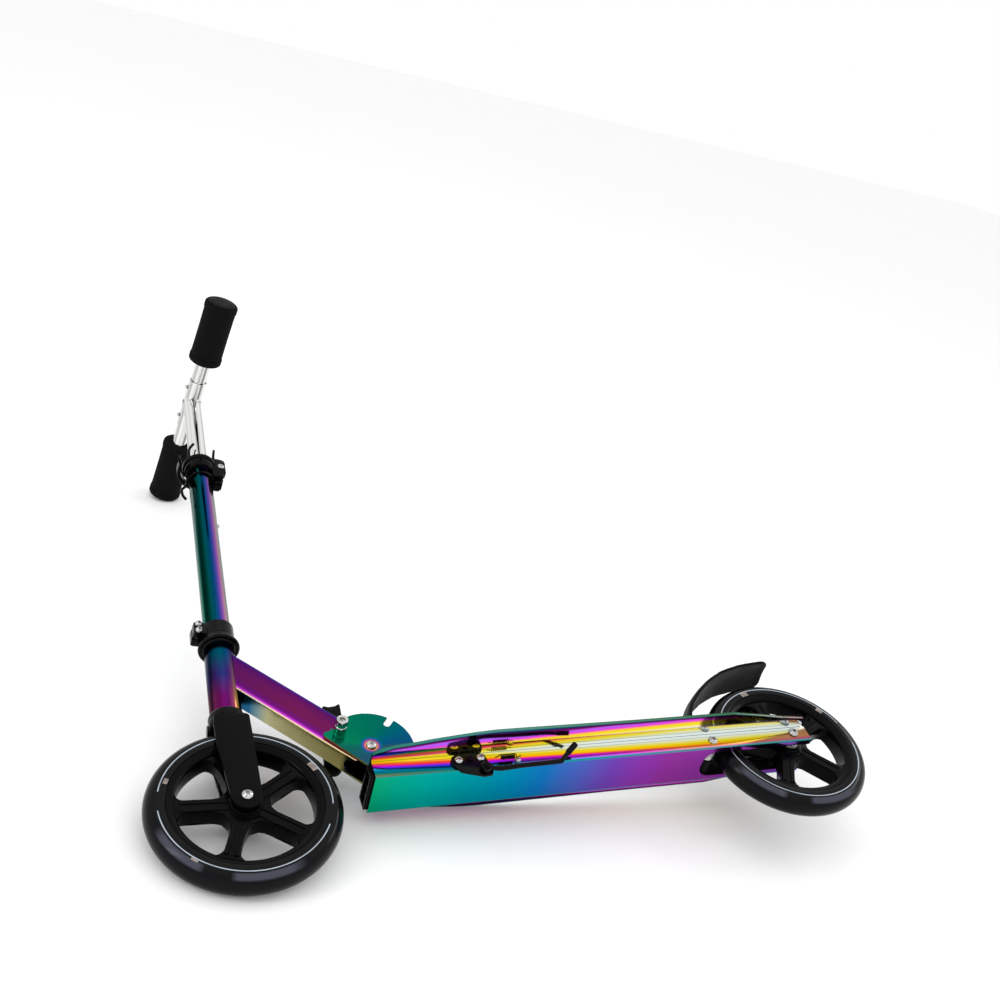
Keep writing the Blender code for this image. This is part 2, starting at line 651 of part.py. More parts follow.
def folding_bracket():
    floor = CHANNEL_TOP + PLATE_THICKNESS + GAP
    side = CHEEK_OUTER - 0.0006
    base = block("bracket_base", (PIVOT_X - CHEEK_RADIUS + 0.0006, -side, floor),
                 (PIVOT_X + 0.0070, side, floor + CHEEK_THICKNESS))
    bracket = add("fold_bracket", base, scooter, "rainbow_bracket")
    for side, sign in (("left", 1), ("right", -1)):
        cheek = flat("cheek_" + side, [cheek_outline()], CHEEK_THICKNESS)
        place = (0.0, sign * (CHEEK_OUTER - CHEEK_THICKNESS / 2), 0.0)
        join(bracket, add("cheek_" + side, cheek, fold_axis, location=place, rotation=UPRIGHT))
    cut(bracket, notch_cutter("open_notch", LOCK_ANGLE))
    cut(bracket, notch_cutter("folded_notch", LOCK_ANGLE + FOLD_ANGLE))
    cut(bracket, add("pivot_hole", rod("pivot_hole", 0.0030 + GAP, -0.03, 0.03, 20), fold_axis,
                     rotation=ACROSS))
    rivet("fold_pivot", fold_axis, "chrome", 0.0030, 0.0058, CHEEK_OUTER + GAP, rotation=ACROSS)


def lock():
    """The silver lock barrel and the black cam lever opposite."""
    outside = CHEEK_OUTER + GAP
    barrel = [(0.0, outside + 0.0135), (0.0032, outside + 0.0135), (0.0032, outside + 0.0160),
              (0.0060, outside + 0.0160), (0.0067, outside + 0.0152), (0.0067, outside),
              (0.0, outside)]
    turned("lock_barrel", barrel, lock_axis, "chrome", False, 20, rotation=ACROSS)

    hub_high = -outside
    hub = add("fold_lever", rod("lever_hub", 0.0095, hub_high - 0.0170, hub_high, 28), lock_axis,
              "black_plastic", rotation=ACROSS)
    arm = [(0.0125, -0.0050), (0.0110, 0.0100), (0.0010, 0.0380), (-0.0030, 0.0640),
           (-0.0010, 0.0760), (-0.0080, 0.0730), (-0.0160, 0.0740), (-0.0225, 0.0780),
           (-0.0210, 0.0600), (-0.0150, 0.0330), (-0.0110, 0.0060), (-0.0060, -0.0100)]
    arm += arc((0.0050, -0.0140), 0.0110, 200.0, 350.0, 6)
    blade = flat("lever_arm", [arm], 0.0090)
    join(hub, add("lever_arm", blade, lock_axis, location=(0.0, hub_high - 0.0105, 0.0),
                  rotation=UPRIGHT))


folding_bracket()
lock()


# ---- neck -----------------------------------------------------------------------------------
def neck():
    """The down tube, open at its lower end, welded to the head tube."""
    knuckle = arc((0.0, 0.0), NECK_ABOVE, 90.0, 200.0, 8)
    side = [(NECK_TOP_LENGTH, NECK_ABOVE)] + knuckle
    side += [(0.0020, -NECK_BELOW), (NECK_BOTTOM_LENGTH, -NECK_BELOW)]
    body = add("neck", flat("neck_side", [side], 2 * NECK_HALF_WIDTH), neck_frame, "rainbow_neck",
               rotation=UPRIGHT)
    bevel(body, 0.0020, 2, 60)
    head = rod("head_tube", HEAD_TUBE_RADIUS, HEAD_TUBE_LOW, HEAD_TUBE_HIGH, 32)
    join(body, add("head_tube", head, steering))
    inside = NECK_HALF_WIDTH - NECK_WALL
    hollow = block("neck_hollow", (-0.03, -inside, -NECK_BELOW + NECK_WALL),
                   (NECK_BOTTOM_LENGTH - 0.0120, inside, NECK_ABOVE - NECK_WALL))
    cut(body, add("neck_hollow", hollow, neck_frame))
    cut(body, add("neck_scoop", rod("neck_scoop", 0.0085, -0.04, -0.02, 28), neck_frame,
                  location=(0.0060, 0.0, 0.0)))
    bore = rod("head_bore", 0.0147, HEAD_TUBE_LOW - 0.01, HEAD_TUBE_HIGH + 0.01, 24)
    cut(body, add("head_bore", bore, steering))
    cut(body, add("neck_pivot_hole", rod("neck_pivot_hole", 0.0030 + GAP, -0.03, 0.03, 20),
                  fold_axis, rotation=ACROSS))


def headset():
    low = HEAD_TUBE_LOW - GAP
    cup = [(0.0185, low), (0.0198, low - 0.0015), (0.0198, CROWN_HIGH + 0.0030),
           (0.0180, CROWN_HIGH + GAP), (0.0131, CROWN_HIGH + GAP), (0.0131, low)]
    turned("headset_lower_cup", cup, steering, "black_plastic", True, 24)
    seat = HEAD_TUBE_HIGH + GAP
    top = COLUMN_LOW - GAP
    upper = [(0.0185, top), (0.0200, top - 0.0012), (0.0237, seat + 0.0068),
             (0.0237, seat + 0.0042), (0.0205, seat + 0.0012), (0.0182, seat), (0.0131, seat),
             (0.0131, top)]
    turned("headset_upper_cup", upper, steering, "black_plastic", True, 28)
    for name, start in (("head_bearing_lower", HEAD_TUBE_LOW + 0.001),
                        ("head_bearing_upper", HEAD_TUBE_HIGH - 0.009)):
        ring_piece(name, steering, "steel", 0.0142, 0.0128, start, start + 0.0080, 20)


neck()
headset()


# ---- fork -----------------------------------------------------------------------------------
def leg_outline():
    """Side view of a fork leg: wide at the crown, rounded round the axle."""
    bottom = arc((-AXLE_SETBACK, 0.0), 0.0158, 180.0, 355.0, 12)
    return bottom + [(0.0122, 0.0400), (0.0165, 0.0680), (0.0177, 0.1000), (0.0165, 0.1110),
                     (0.0130, LEG_TOP), (-0.0170, LEG_TOP), (-0.0208, 0.1110), (-0.0220, 0.0780),
                     (-0.0236, 0.0150)]


def fork():
    crown = rod("crown", 0.0215, CROWN_LOW, CROWN_HIGH, 28)
    body = add("fork", crown, steering, "black_paint")
    bridge = block("crown_bridge", (-0.0180, -LEG_INNER - 0.0010, CROWN_LOW + 0.0003),
                   (0.0150, LEG_INNER + 0.0010, LEG_TOP - 0.0005))
    join(body, add("crown_bridge", bridge, steering))
    for side, sign in (("left", 1), ("right", -1)):
        leg = flat("leg_" + side, [leg_outline()], LEG_OUTER - LEG_INNER)
        place = (0.0, sign * (LEG_INNER + LEG_OUTER) / 2, 0.0)
        join(body, add("leg_" + side, leg, steering, location=place, rotation=UPRIGHT))
    steerer = rod("steerer", 0.0125, CROWN_HIGH - 0.004, 0.3300, 24)
    join(body, add("steerer_tube", steerer, steering))
    cut(body, add("fork_axle_hole", rod("fork_axle_hole", AXLE_RADIUS + GAP, -0.04, 0.04, 20),
                  front_axle, rotation=ACROSS))


fork()


# ---- column ---------------------------------------------------------------------------------
def column():
    tube = ring_piece("column", column_frame, "rainbow_column", COLUMN_RADIUS, COLUMN_BORE,
                      COLUMN_LOW, COLUMN_HIGH, 32)
    slit = block("column_slit", (0.0, -0.0012, COLUMN_HIGH - 0.0700), (0.03, 0.0012, 0.7))
    for side, angle in (("rear", 180.0), ("left", 62.0)):
        cut(tube, add("column_slit_" + side, slit.copy(), column_frame,
                      rotation=(0.0, 0.0, math.radians(angle))))
    hole = rod("button_hole", 0.0036, 0.010, 0.030, 20)
    cut(tube, add("column_button_hole", hole, column_frame,
                  location=(0.0, 0.0, HEIGHT_BUTTON_S), rotation=(0.0, math.radians(-90.0), 0.0)))

    collar_low, collar_high = COLUMN_LOW + 0.0003, 0.2685
    collar = add("column_collar", rod("column_collar", 0.0190, collar_low, collar_high, 28),
                 column_frame, "black_paint")
    ears = block("collar_ears", (0.0165, -0.0110, collar_low + 0.0010), (0.0300, 0.0110, collar_high - 0.0010))
    join(collar, add("collar_ears", ears, column_frame))
    gap = block("collar_gap", (0.0, -0.0015, 0.2), (0.04, 0.0015, 0.3))
    cut(collar, add("collar_gap", gap, column_frame))
    cut(collar, add("collar_inside", rod("collar_inside", COLUMN_RADIUS + GAP, 0.2, 0.3, 28),
                    column_frame))
    for level, height in (("lower", collar_low + 0.0048), ("upper", collar_high - 0.0048)):
        place = dict(location=(0.0245, 0.0, height), rotation=ACROSS)
        hole = rod("collar_bolt_hole", 0.0022 + GAP, -0.03, 0.03, 16)
        cut(collar, add("collar_hole_" + level, hole, column_frame, **place))
        domed_bolt("collar_bolt_" + level, column_frame, "chrome", 0.0022, 0.0042, 0.0110 + GAP,
                   0.0150, -0.0108, **place)

    button = [(0.0, 0.0188), (0.0018, 0.0184), (0.0029, 0.0172), (0.0031, 0.0158),
              (0.0031, 0.0143), (0.0, 0.0143)]
    turned("height_button", button, column_frame, "chrome", False, 14,
           location=(0.0, 0.0, HEIGHT_BUTTON_S), rotation=(0.0, math.radians(-90.0), 0.0))


CLAMP_LOW = 0.5740
CLAMP_HIGH = 0.6110
CLAMP_BOLT = (-0.0265, 0.0, 0.5980)
CAM_PLACE = (-0.0265, -0.0183, 0.5980)
CAM_RADIUS = 0.0053


def top_clamp():
    """The clamp round the column's top, its bolt and the cam lever that closes it."""
    cam_axis = empty("clamp_cam_axis", column_frame, CAM_PLACE)
    clamp = add("top_clamp", rod("top_clamp", 0.0205, CLAMP_LOW, CLAMP_HIGH, 28), column_frame,
                "black_plastic")
    lip = rod("clamp_lip", 0.0225, CLAMP_HIGH - 0.0080, CLAMP_HIGH + 0.0004, 28)
    join(clamp, add("clamp_lip", lip, column_frame))
    ears = block("clamp_ears", (-0.0335, -0.0125, CLAMP_LOW + 0.0002), (-0.0170, 0.0125, CLAMP_HIGH - 0.0010))
    ears_piece = add("clamp_ears", ears, column_frame)
    bevel(ears_piece, 0.0030, 2)
    join(clamp, ears_piece)
    for index, (foot, middle, tip) in enumerate((
            ((0.0160, 0.0110, CLAMP_HIGH - 0.0060), (0.0160, 0.0140, CLAMP_HIGH + 0.0130),
             (0.0100, 0.0160, CLAMP_HIGH + 0.0260)),
            ((-0.0170, 0.0100, CLAMP_HIGH - 0.0060), (-0.0180, 0.0120, CLAMP_HIGH + 0.0120),
             (-0.0200, 0.0110, CLAMP_HIGH + 0.0260)))):
        line = [tuple(place) for place in through_points([foot, middle, tip], 3)]
        name = "clamp_hook_%d" % index
        join(clamp, add(name, wire(name, line, 0.0019, 2), column_frame))
    gap = block("clamp_gap", (-0.05, -0.0015, 0.55), (0.0, 0.0015, 0.7))
    cut(clamp, add("clamp_gap", gap, column_frame))
    cut(clamp, add("clamp_inside", rod("clamp_inside", COLUMN_RADIUS + GAP, 0.5, 0.7, 28),
                   column_frame))
    place = dict(location=CLAMP_BOLT, rotation=ACROSS)
    cut(clamp, add("clamp_bolt_hole", rod("clamp_bolt_hole", 0.0025 + GAP, -0.03, 0.03, 16),
                   column_frame, **place))
    domed_bolt("clamp_bolt", column_frame, "chrome", 0.0025, 0.0046, 0.0125 + GAP, 0.0150,
               -0.0122, **place)

    cam = add("clamp_lever", rod("clamp_cam", CAM_RADIUS, -0.0065, 0.0065, 20), cam_axis, "black_plastic")
    outer = arc((0.0, 0.0), 0.0300, -146.0, 12.0, 14)
    inner = arc((0.0, 0.0), 0.0250, 8.0, -146.0, 14)
    tip = [(0.0325, 0.0140), (0.0290, 0.0155)]
    handle = flat("clamp_handle", [outer + tip + inner], 0.0130)
    join(cam, add("clamp_handle", handle, column_frame, location=(0.0, 0.0, CLAMP_BOLT[2])))


def grip_clip():
    """A ring under the clamp, with hooks that store the two handles when they are taken off."""
    low, high = CLAMP_LOW - 0.0120, CLAMP_LOW - GAP
    ring = add("grip_clip", rod("grip_clip", 0.0188, low, high, 28), column_frame, "black_plastic")
    hook = [(0.0172, 0.0, low + 0.0040), (0.0215, 0.0, low - 0.0080), (0.0265, 0.0, low - 0.0170),
            (0.0262, 0.0, low - 0.0290), (0.0225, 0.0, low - 0.0370)]
    line = [tuple(place) for place in through_points(hook, 2)]
    join(ring, add("clip_hook", wire("clip_hook", line, 0.0019, 2), column_frame))
    back = add("clip_block", block("clip_block", (-0.0300, -0.0080, low - 0.0040),
                                   (-0.0170, 0.0080, high - 0.0005)), column_frame)
    bevel(back, 0.0025, 2)
    join(ring, back)
    cut(ring, add("clip_inside", rod("clip_inside", COLUMN_RADIUS + GAP, 0.5, 0.7, 28),
                  column_frame))


column()
top_clamp()
grip_clip()


# ---- handlebar ------------------------------------------------------------------------------
def post_and_sleeve():
    post = ring_piece("inner_post", bar, "chrome", POST_RADIUS, POST_RADIUS - 0.0018,
                      POST_LOW - BAR_HEIGHT, -0.0060, 28)
    sleeve = rod("sleeve", SLEEVE_RADIUS, -SLEEVE_HALF_LENGTH, SLEEVE_HALF_LENGTH, 28)
    join(post, add("sleeve", sleeve, bar, rotation=ACROSS))
    bore = rod("sleeve_bore", SLEEVE_BORE, -0.05, 0.05, 28)
    cut(post, add("sleeve_bore", bore, bar, rotation=ACROSS))
    slot_top = HEIGHT_BUTTON_S + HEIGHT_DOWN + 0.0050 - BAR_HEIGHT
    slot = block("post_slot", (-0.0200, -0.0036, POST_LOW - BAR_HEIGHT - 0.01), (-0.0050, 0.0036, slot_top))
    cut(post, add("post_slot", slot, bar))
    for side, sign in (("left", 1), ("right", -1)):
        hole = rod("sleeve_hole", 0.0034, 0.005, 0.020, 14)
        place = dict(location=(0.0, sign * BUTTON_Y, 0.0), rotation=(0.0, math.radians(90.0), 0.0))
        cut(post, add("sleeve_hole_" + side, hole, bar, **place))
        button = [(0.0, 0.0162), (0.0018, 0.0158), (0.0027, 0.0147), (0.0029, 0.0137),
                  (0.0029, 0.0127), (0.0, 0.0127)]
        turned("handle_button_" + side, button, bar, "chrome", False, 14, **place)


def handles():
    for side, sign in (("left", 1), ("right", -1)):
        turn = ACROSS if sign > 0 else UPRIGHT
        tube = ring_piece("handle_tube_" + side, bar, "chrome", HANDLE_RADIUS, HANDLE_RADIUS - 0.0015,
                          0.0080, GRIP_OUTER - 0.0040, 24, rotation=turn)
        reach = sign * (BUTTON_Y + 0.0034)
        slot = block("handle_slot", (0.0050, min(0.0, reach), -0.0034), (0.0200, max(0.0, reach), 0.0034))
        cut(tube, add("handle_slot_" + side, slot, bar))
        inner = HANDLE_RADIUS + GAP
        collar = GRIP_RADIUS + 0.0010
        grip = [(inner, GRIP_OUTER), (collar - 0.0030, GRIP_OUTER), (collar, GRIP_OUTER - 0.0030),
                (collar, GRIP_OUTER - 0.0090), (GRIP_RADIUS, GRIP_OUTER - 0.0105),
                (GRIP_RADIUS, GRIP_INNER + 0.0105), (collar, GRIP_INNER + 0.0090),
                (collar, GRIP_INNER + 0.0030), (collar - 0.0030, GRIP_INNER), (inner, GRIP_INNER)]
        turned("grip_" + side, grip, bar, "foam", True, 22, rotation=turn)
        face = GRIP_OUTER + 0.0027
        cap = [(0.0, face), (0.0165, face), (0.0185, GRIP_OUTER + 0.0018), (0.0185, GRIP_OUTER + GAP),
               (HANDLE_RADIUS - 0.0018, GRIP_OUTER + GAP), (HANDLE_RADIUS - 0.0018, GRIP_OUTER - 0.0150),
               (0.0, GRIP_OUTER - 0.0150)]
        turned("end_cap_" + side, cap, bar, "black_plastic", False, 22, rotation=turn)


post_and_sleeve()
handles()
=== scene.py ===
"""The looks of a folding kick scooter with a rainbow coating, lying on its right side.

Pieces are modelled in the scooter's own directions: x forward, y to the rider's left, z up from
the deck, in metres. The frames below turn those into the CAD model's frame.
"""

import math

import bmesh
import bpy
from mathutils import Matrix, Vector


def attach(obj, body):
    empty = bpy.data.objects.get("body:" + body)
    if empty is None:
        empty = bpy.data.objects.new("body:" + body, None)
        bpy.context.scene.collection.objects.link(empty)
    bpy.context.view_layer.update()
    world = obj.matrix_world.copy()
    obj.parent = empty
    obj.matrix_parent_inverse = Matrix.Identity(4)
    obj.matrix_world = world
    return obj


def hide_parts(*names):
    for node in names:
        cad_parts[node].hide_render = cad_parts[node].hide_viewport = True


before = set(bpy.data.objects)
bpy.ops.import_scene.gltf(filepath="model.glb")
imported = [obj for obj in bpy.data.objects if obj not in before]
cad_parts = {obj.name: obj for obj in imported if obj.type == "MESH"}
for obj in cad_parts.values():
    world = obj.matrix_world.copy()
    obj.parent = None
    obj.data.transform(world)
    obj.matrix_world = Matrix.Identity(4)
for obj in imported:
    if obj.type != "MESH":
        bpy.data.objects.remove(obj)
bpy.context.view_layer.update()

TAU = 2 * math.pi


def rotation(axis, degrees):
    return Matrix.Rotation(math.radians(degrees), 4, axis)


def shift(x, y, z):
    return Matrix.Translation((x, y, z))


def polar(radius, degrees):
    return radius * math.cos(math.radians(degrees)), radius * math.sin(math.radians(degrees))


# ---- dimensions, and frames as in the CAD model -----------------------------------------------
CHANNEL_WALL = 0.0277               # from the deck's middle to the outside of its side walls
CHANNEL_LOW = 0.0875                # the height of the deck's underside
FOLD_HEIGHT = 0.1428                # the height of the folding pivot
LOCK_REACH = 0.0388                 # from the folding pivot to the lock barrel
HANDLE_BUTTON = 0.0245              # from the bar's middle to each handle's button
RING_BORE = 0.0159                  # the inner radius of the rings round the column
HOOK = 0.0019                       # the radius of the clamp's and the clip's hooks

ON_ITS_SIDE = Matrix(((-1, 0, 0), (0, 0, 1), (0, 1, 0))).to_4x4()
SCOOTER = shift(0.3298, -0.4418, 0.07196) @ rotation("Y", -4.77) @ rotation("X", 10.09) @ ON_ITS_SIDE
ACROSS = rotation("X", -90)         # a turned piece's axis to the rider's left
UPRIGHT = rotation("X", 90)         # a flat outline stood up: its y is height
REAR = SCOOTER @ shift(0, 0, 0.1)
BRAKE = SCOOTER @ shift(0.1137, 0, 0.0987)
STAND = SCOOTER @ shift(0.406, 0.0341, 0.083)
FOLD = SCOOTER @ shift(0.516, 0, FOLD_HEIGHT)
NECK = FOLD @ rotation("Y", -47.5)
LOCK = FOLD @ shift(polar(LOCK_REACH, 42)[0], 0, polar(LOCK_REACH, 42)[1])
STEER = SCOOTER @ shift(0.6678, 0, 0.0851) @ rotation("Y", -3.74)
FRONT = STEER @ shift(-0.0085, 0, 0)
COLUMN = STEER @ rotation("Z", 9.1)
BAR = COLUMN @ shift(0, 0, 0.7759)
CLAMP_BOLT = (-0.0265, 0.0, 0.598)  # this and the two below are in the column's frame
CAM_PLACE = (-0.0265, -0.0183, 0.598)
HEIGHT_BUTTON = shift(0, 0, 0.475) @ rotation("Y", -90)


# ---- mesh helpers -----------------------------------------------------------------------------
def placed(name, data):
    """A new object in the scene."""
    made = bpy.data.objects.new(name, data)
    bpy.context.scene.collection.objects.link(made)
    return made


def piece(name, mesh, matrix, body, materials, slot=None, replaces=(), smooth=40.0, bevel=0.0):
    """A named piece that rides on a body and may stand for CAD nodes."""
    made = placed(name, mesh)
    made.matrix_world = matrix
    for material in materials:
        mesh.materials.append(material)
    if bevel:
        rounding = made.modifiers.new("bevel", "BEVEL")
        rounding.width = bevel
        rounding.segments = 3
        rounding.limit_method = "ANGLE"
        rounding.angle_limit = math.radians(35)
    if smooth:
        mesh.shade_smooth()
        mesh.set_sharp_from_angle(angle=math.radians(smooth))
    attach(made, body)
    if replaces:
        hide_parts(*replaces)
    return made


def to_mesh(bm, outwards=True):
    """The finished mesh, with its faces turned outwards unless they are flat marks."""
    if outwards:
        bmesh.ops.recalc_face_normals(bm, faces=bm.faces)
    mesh = bpy.data.meshes.new("mesh")
    bm.to_mesh(mesh)
    bm.free()
    return mesh


def lathe(bm, profile, segments=96, matrix=None, closed=False):
    """Turns a profile of (radius, height) round z. A closed profile joins its end to its start."""
    rings = []
    for radius, height in profile:
        if radius < 1e-6:
            rings.append([bm.verts.new((0.0, 0.0, height))])
        else:
            rings.append([bm.verts.new((radius * math.cos(TAU * k / segments),
                radius * math.sin(TAU * k / segments), height)) for k in range(segments)])
    pairs = list(zip(rings, rings[1:]))
    if closed:
        pairs.append((rings[-1], rings[0]))
    for lower, upper in pairs:
        for k in range(segments):
            following = (k + 1) % segments
            corners = [lower[k % len(lower)], lower[following % len(lower)], upper[following % len(upper)],
                upper[k % len(upper)]]
            unique = list(dict.fromkeys(corners))
            if len(unique) > 2:
                bm.faces.new(unique)
    if matrix is not None:
        bmesh.ops.transform(bm, matrix=matrix, verts=[v for ring in rings for v in ring])
    return rings


def lathe_mesh(profile, segments=96, matrix=None, closed=True):
    bm = bmesh.new()
    lathe(bm, profile, segments, matrix, closed)
    return to_mesh(bm)


def turned(name, profile, matrix, body, material, closed=False, segments=96, **more):
    return piece(name, lathe_mesh(profile, segments, None, closed), matrix, body, [material], **more)


def skin(bm, rows):
    """Faces from each closed row of corners to the next, and over both ends."""
    for first, second in zip(rows, rows[1:]):
        for k in range(len(first)):
            following = (k + 1) % len(first)
            bm.faces.new((first[k], first[following], second[following], second[k]))
    bm.faces.new(rows[0][::-1])
    bm.faces.new(rows[-1])


def arc(centre, radius, start, end, steps):
    points = [polar(radius, start + (end - start) * k / steps) for k in range(steps + 1)]
    return [(centre[0] + x, centre[1] + y) for x, y in points]


def rounded(outline, radius, steps=5):
    """The outline with its corners rounded. Radius is one number or one for each corner."""
    result = []
    count = len(outline)
    for index, corner in enumerate(outline):
        reach = radius[index] if isinstance(radius, (list, tuple)) else radius
        point = Vector(corner)
        before = Vector(outline[index - 1]) - point
        after = Vector(outline[(index + 1) % count]) - point
        if reach <= 0:
            result.append(tuple(point))
            continue
        half = before.angle(after) / 2
        cut = min(reach / math.tan(half), before.length * 0.48, after.length * 0.48)
        first = point + before.normalized() * cut
        last = point + after.normalized() * cut
        for step in range(steps + 1):
            t = step / steps
            result.append(tuple((1 - t) ** 2 * first + 2 * t * (1 - t) * point + t * t * last))
    return result


def slab(outlines, thickness, edge=0.0, steps=3):
    """A flat outline with holes, as a mesh centred on z = 0, with its edges rounded inwards."""
    curve = bpy.data.curves.new("outline", "CURVE")
    curve.dimensions = "2D"
    curve.fill_mode = "BOTH"
    curve.extrude = thickness / 2 - edge
    curve.bevel_depth = edge
    curve.bevel_resolution = steps - 1
    curve.offset = -edge
    for outline in outlines:
        spline = curve.splines.new("POLY")
        spline.points.add(len(outline) - 1)
        for point, (x, y) in zip(spline.points, outline):
            point.co = (x, y, 0.0, 1.0)
        spline.use_cyclic_u = True
    return curve_mesh(curve)


def curve_mesh(curve):
    holder = placed("curve", curve)
    graph = bpy.context.evaluated_depsgraph_get()
    mesh = bpy.data.meshes.new_from_object(holder.evaluated_get(graph))
    bpy.data.objects.remove(holder, do_unlink=True)
    bm = bmesh.new()
    bm.from_mesh(mesh)
    bmesh.ops.remove_doubles(bm, verts=bm.verts, dist=0.000001)
    bmesh.ops.dissolve_degenerate(bm, edges=bm.edges, dist=0.0000005)
    bpy.data.meshes.remove(mesh)
    return to_mesh(bm)


def wire_mesh(points, radius, sides=6):
    """A round wire along the points."""
    curve = bpy.data.curves.new("wire", "CURVE")
    curve.dimensions = "3D"
    curve.bevel_depth = radius
    curve.bevel_resolution = sides
    curve.use_fill_caps = True
    spline = curve.splines.new("POLY")
    spline.points.add(len(points) - 1)
    for point, place in zip(spline.points, points):
        point.co = (*place, 1.0)
    return curve_mesh(curve)


def through(points, steps):
    """A smooth line through the points."""
    line = []
    ends = [points[0]] + list(points) + [points[-1]]
    for i in range(1, len(ends) - 2):
        a, b, c, d = (Vector(p) for p in ends[i - 1:i + 3])
        for k in range(steps):
            t = k / steps
            line.append(0.5 * ((2 * b) + (c - a) * t + (2 * a - 5 * b + 4 * c - d) * t * t
                + (3 * b - a - 3 * c + d) * t * t * t))
    line.append(Vector(points[-1]))
    return line


def box_bm(low, high):
    bm = bmesh.new()
    bmesh.ops.create_cube(bm, size=1.0)
    low, high = Vector(low), Vector(high)
    bmesh.ops.scale(bm, vec=high - low, verts=bm.verts)
    bmesh.ops.translate(bm, vec=(low + high) / 2, verts=bm.verts)
    return bm


def box_mesh(low, high):
    return to_mesh(box_bm(low, high))


def merged(parts):
    """One mesh from several, where each part is a mesh or a pair of a mesh and its matrix."""
    bm = bmesh.new()
    for part in parts:
        mesh, matrix = part if isinstance(part, tuple) else (part, None)
        start = len(bm.verts)
        bm.from_mesh(mesh)
        bm.verts.ensure_lookup_table()
        if matrix is not None:
            bmesh.ops.transform(bm, matrix=matrix, verts=bm.verts[start:])
    return to_mesh(bm)


def carved(target, cutter, matrix=None):
    """The target mesh without the cutter's volume, which the matrix places."""
    tool = placed("tool", cutter)
    if matrix is not None:
        tool.matrix_world = matrix
    holder = placed("holder", target)
    change = holder.modifiers.new("carve", "BOOLEAN")
    change.operation = "DIFFERENCE"
    change.solver = "EXACT"
    change.object = tool
    graph = bpy.context.evaluated_depsgraph_get()
    mesh = bpy.data.meshes.new_from_object(holder.evaluated_get(graph))
    for helper in (holder, tool):
        bpy.data.objects.remove(helper, do_unlink=True)
    return mesh


def paint(mesh, rule):
    """Gives each face the material number that the rule finds from its centre and normal."""
    for face in mesh.polygons:
        face.material_index = rule(face.center, face.normal)


def rod_mesh(radius, low, high, segments=48, matrix=None):
    bm = bmesh.new()
    bmesh.ops.create_cone(bm, cap_ends=True, segments=segments, radius1=radius, radius2=radius,
        depth=high - low)
    bmesh.ops.translate(bm, vec=(0, 0, (low + high) / 2), verts=bm.verts)
    if matrix is not None:
        bmesh.ops.transform(bm, matrix=matrix, verts=bm.verts)
    return to_mesh(bm)


# ---- materials --------------------------------------------------------------------------------
def linear(code):
    """A colour written as six hex digits, as linear light."""
    values = [int(code[k:k + 2], 16) / 255 for k in (0, 2, 4)]
    return tuple(v / 12.92 if v <= 0.04045 else ((v + 0.055) / 1.055) ** 2.4 for v in values) + (1.0,)


def socket_name(label):
    return label.replace("_", " ").title().replace("Ior", "IOR")


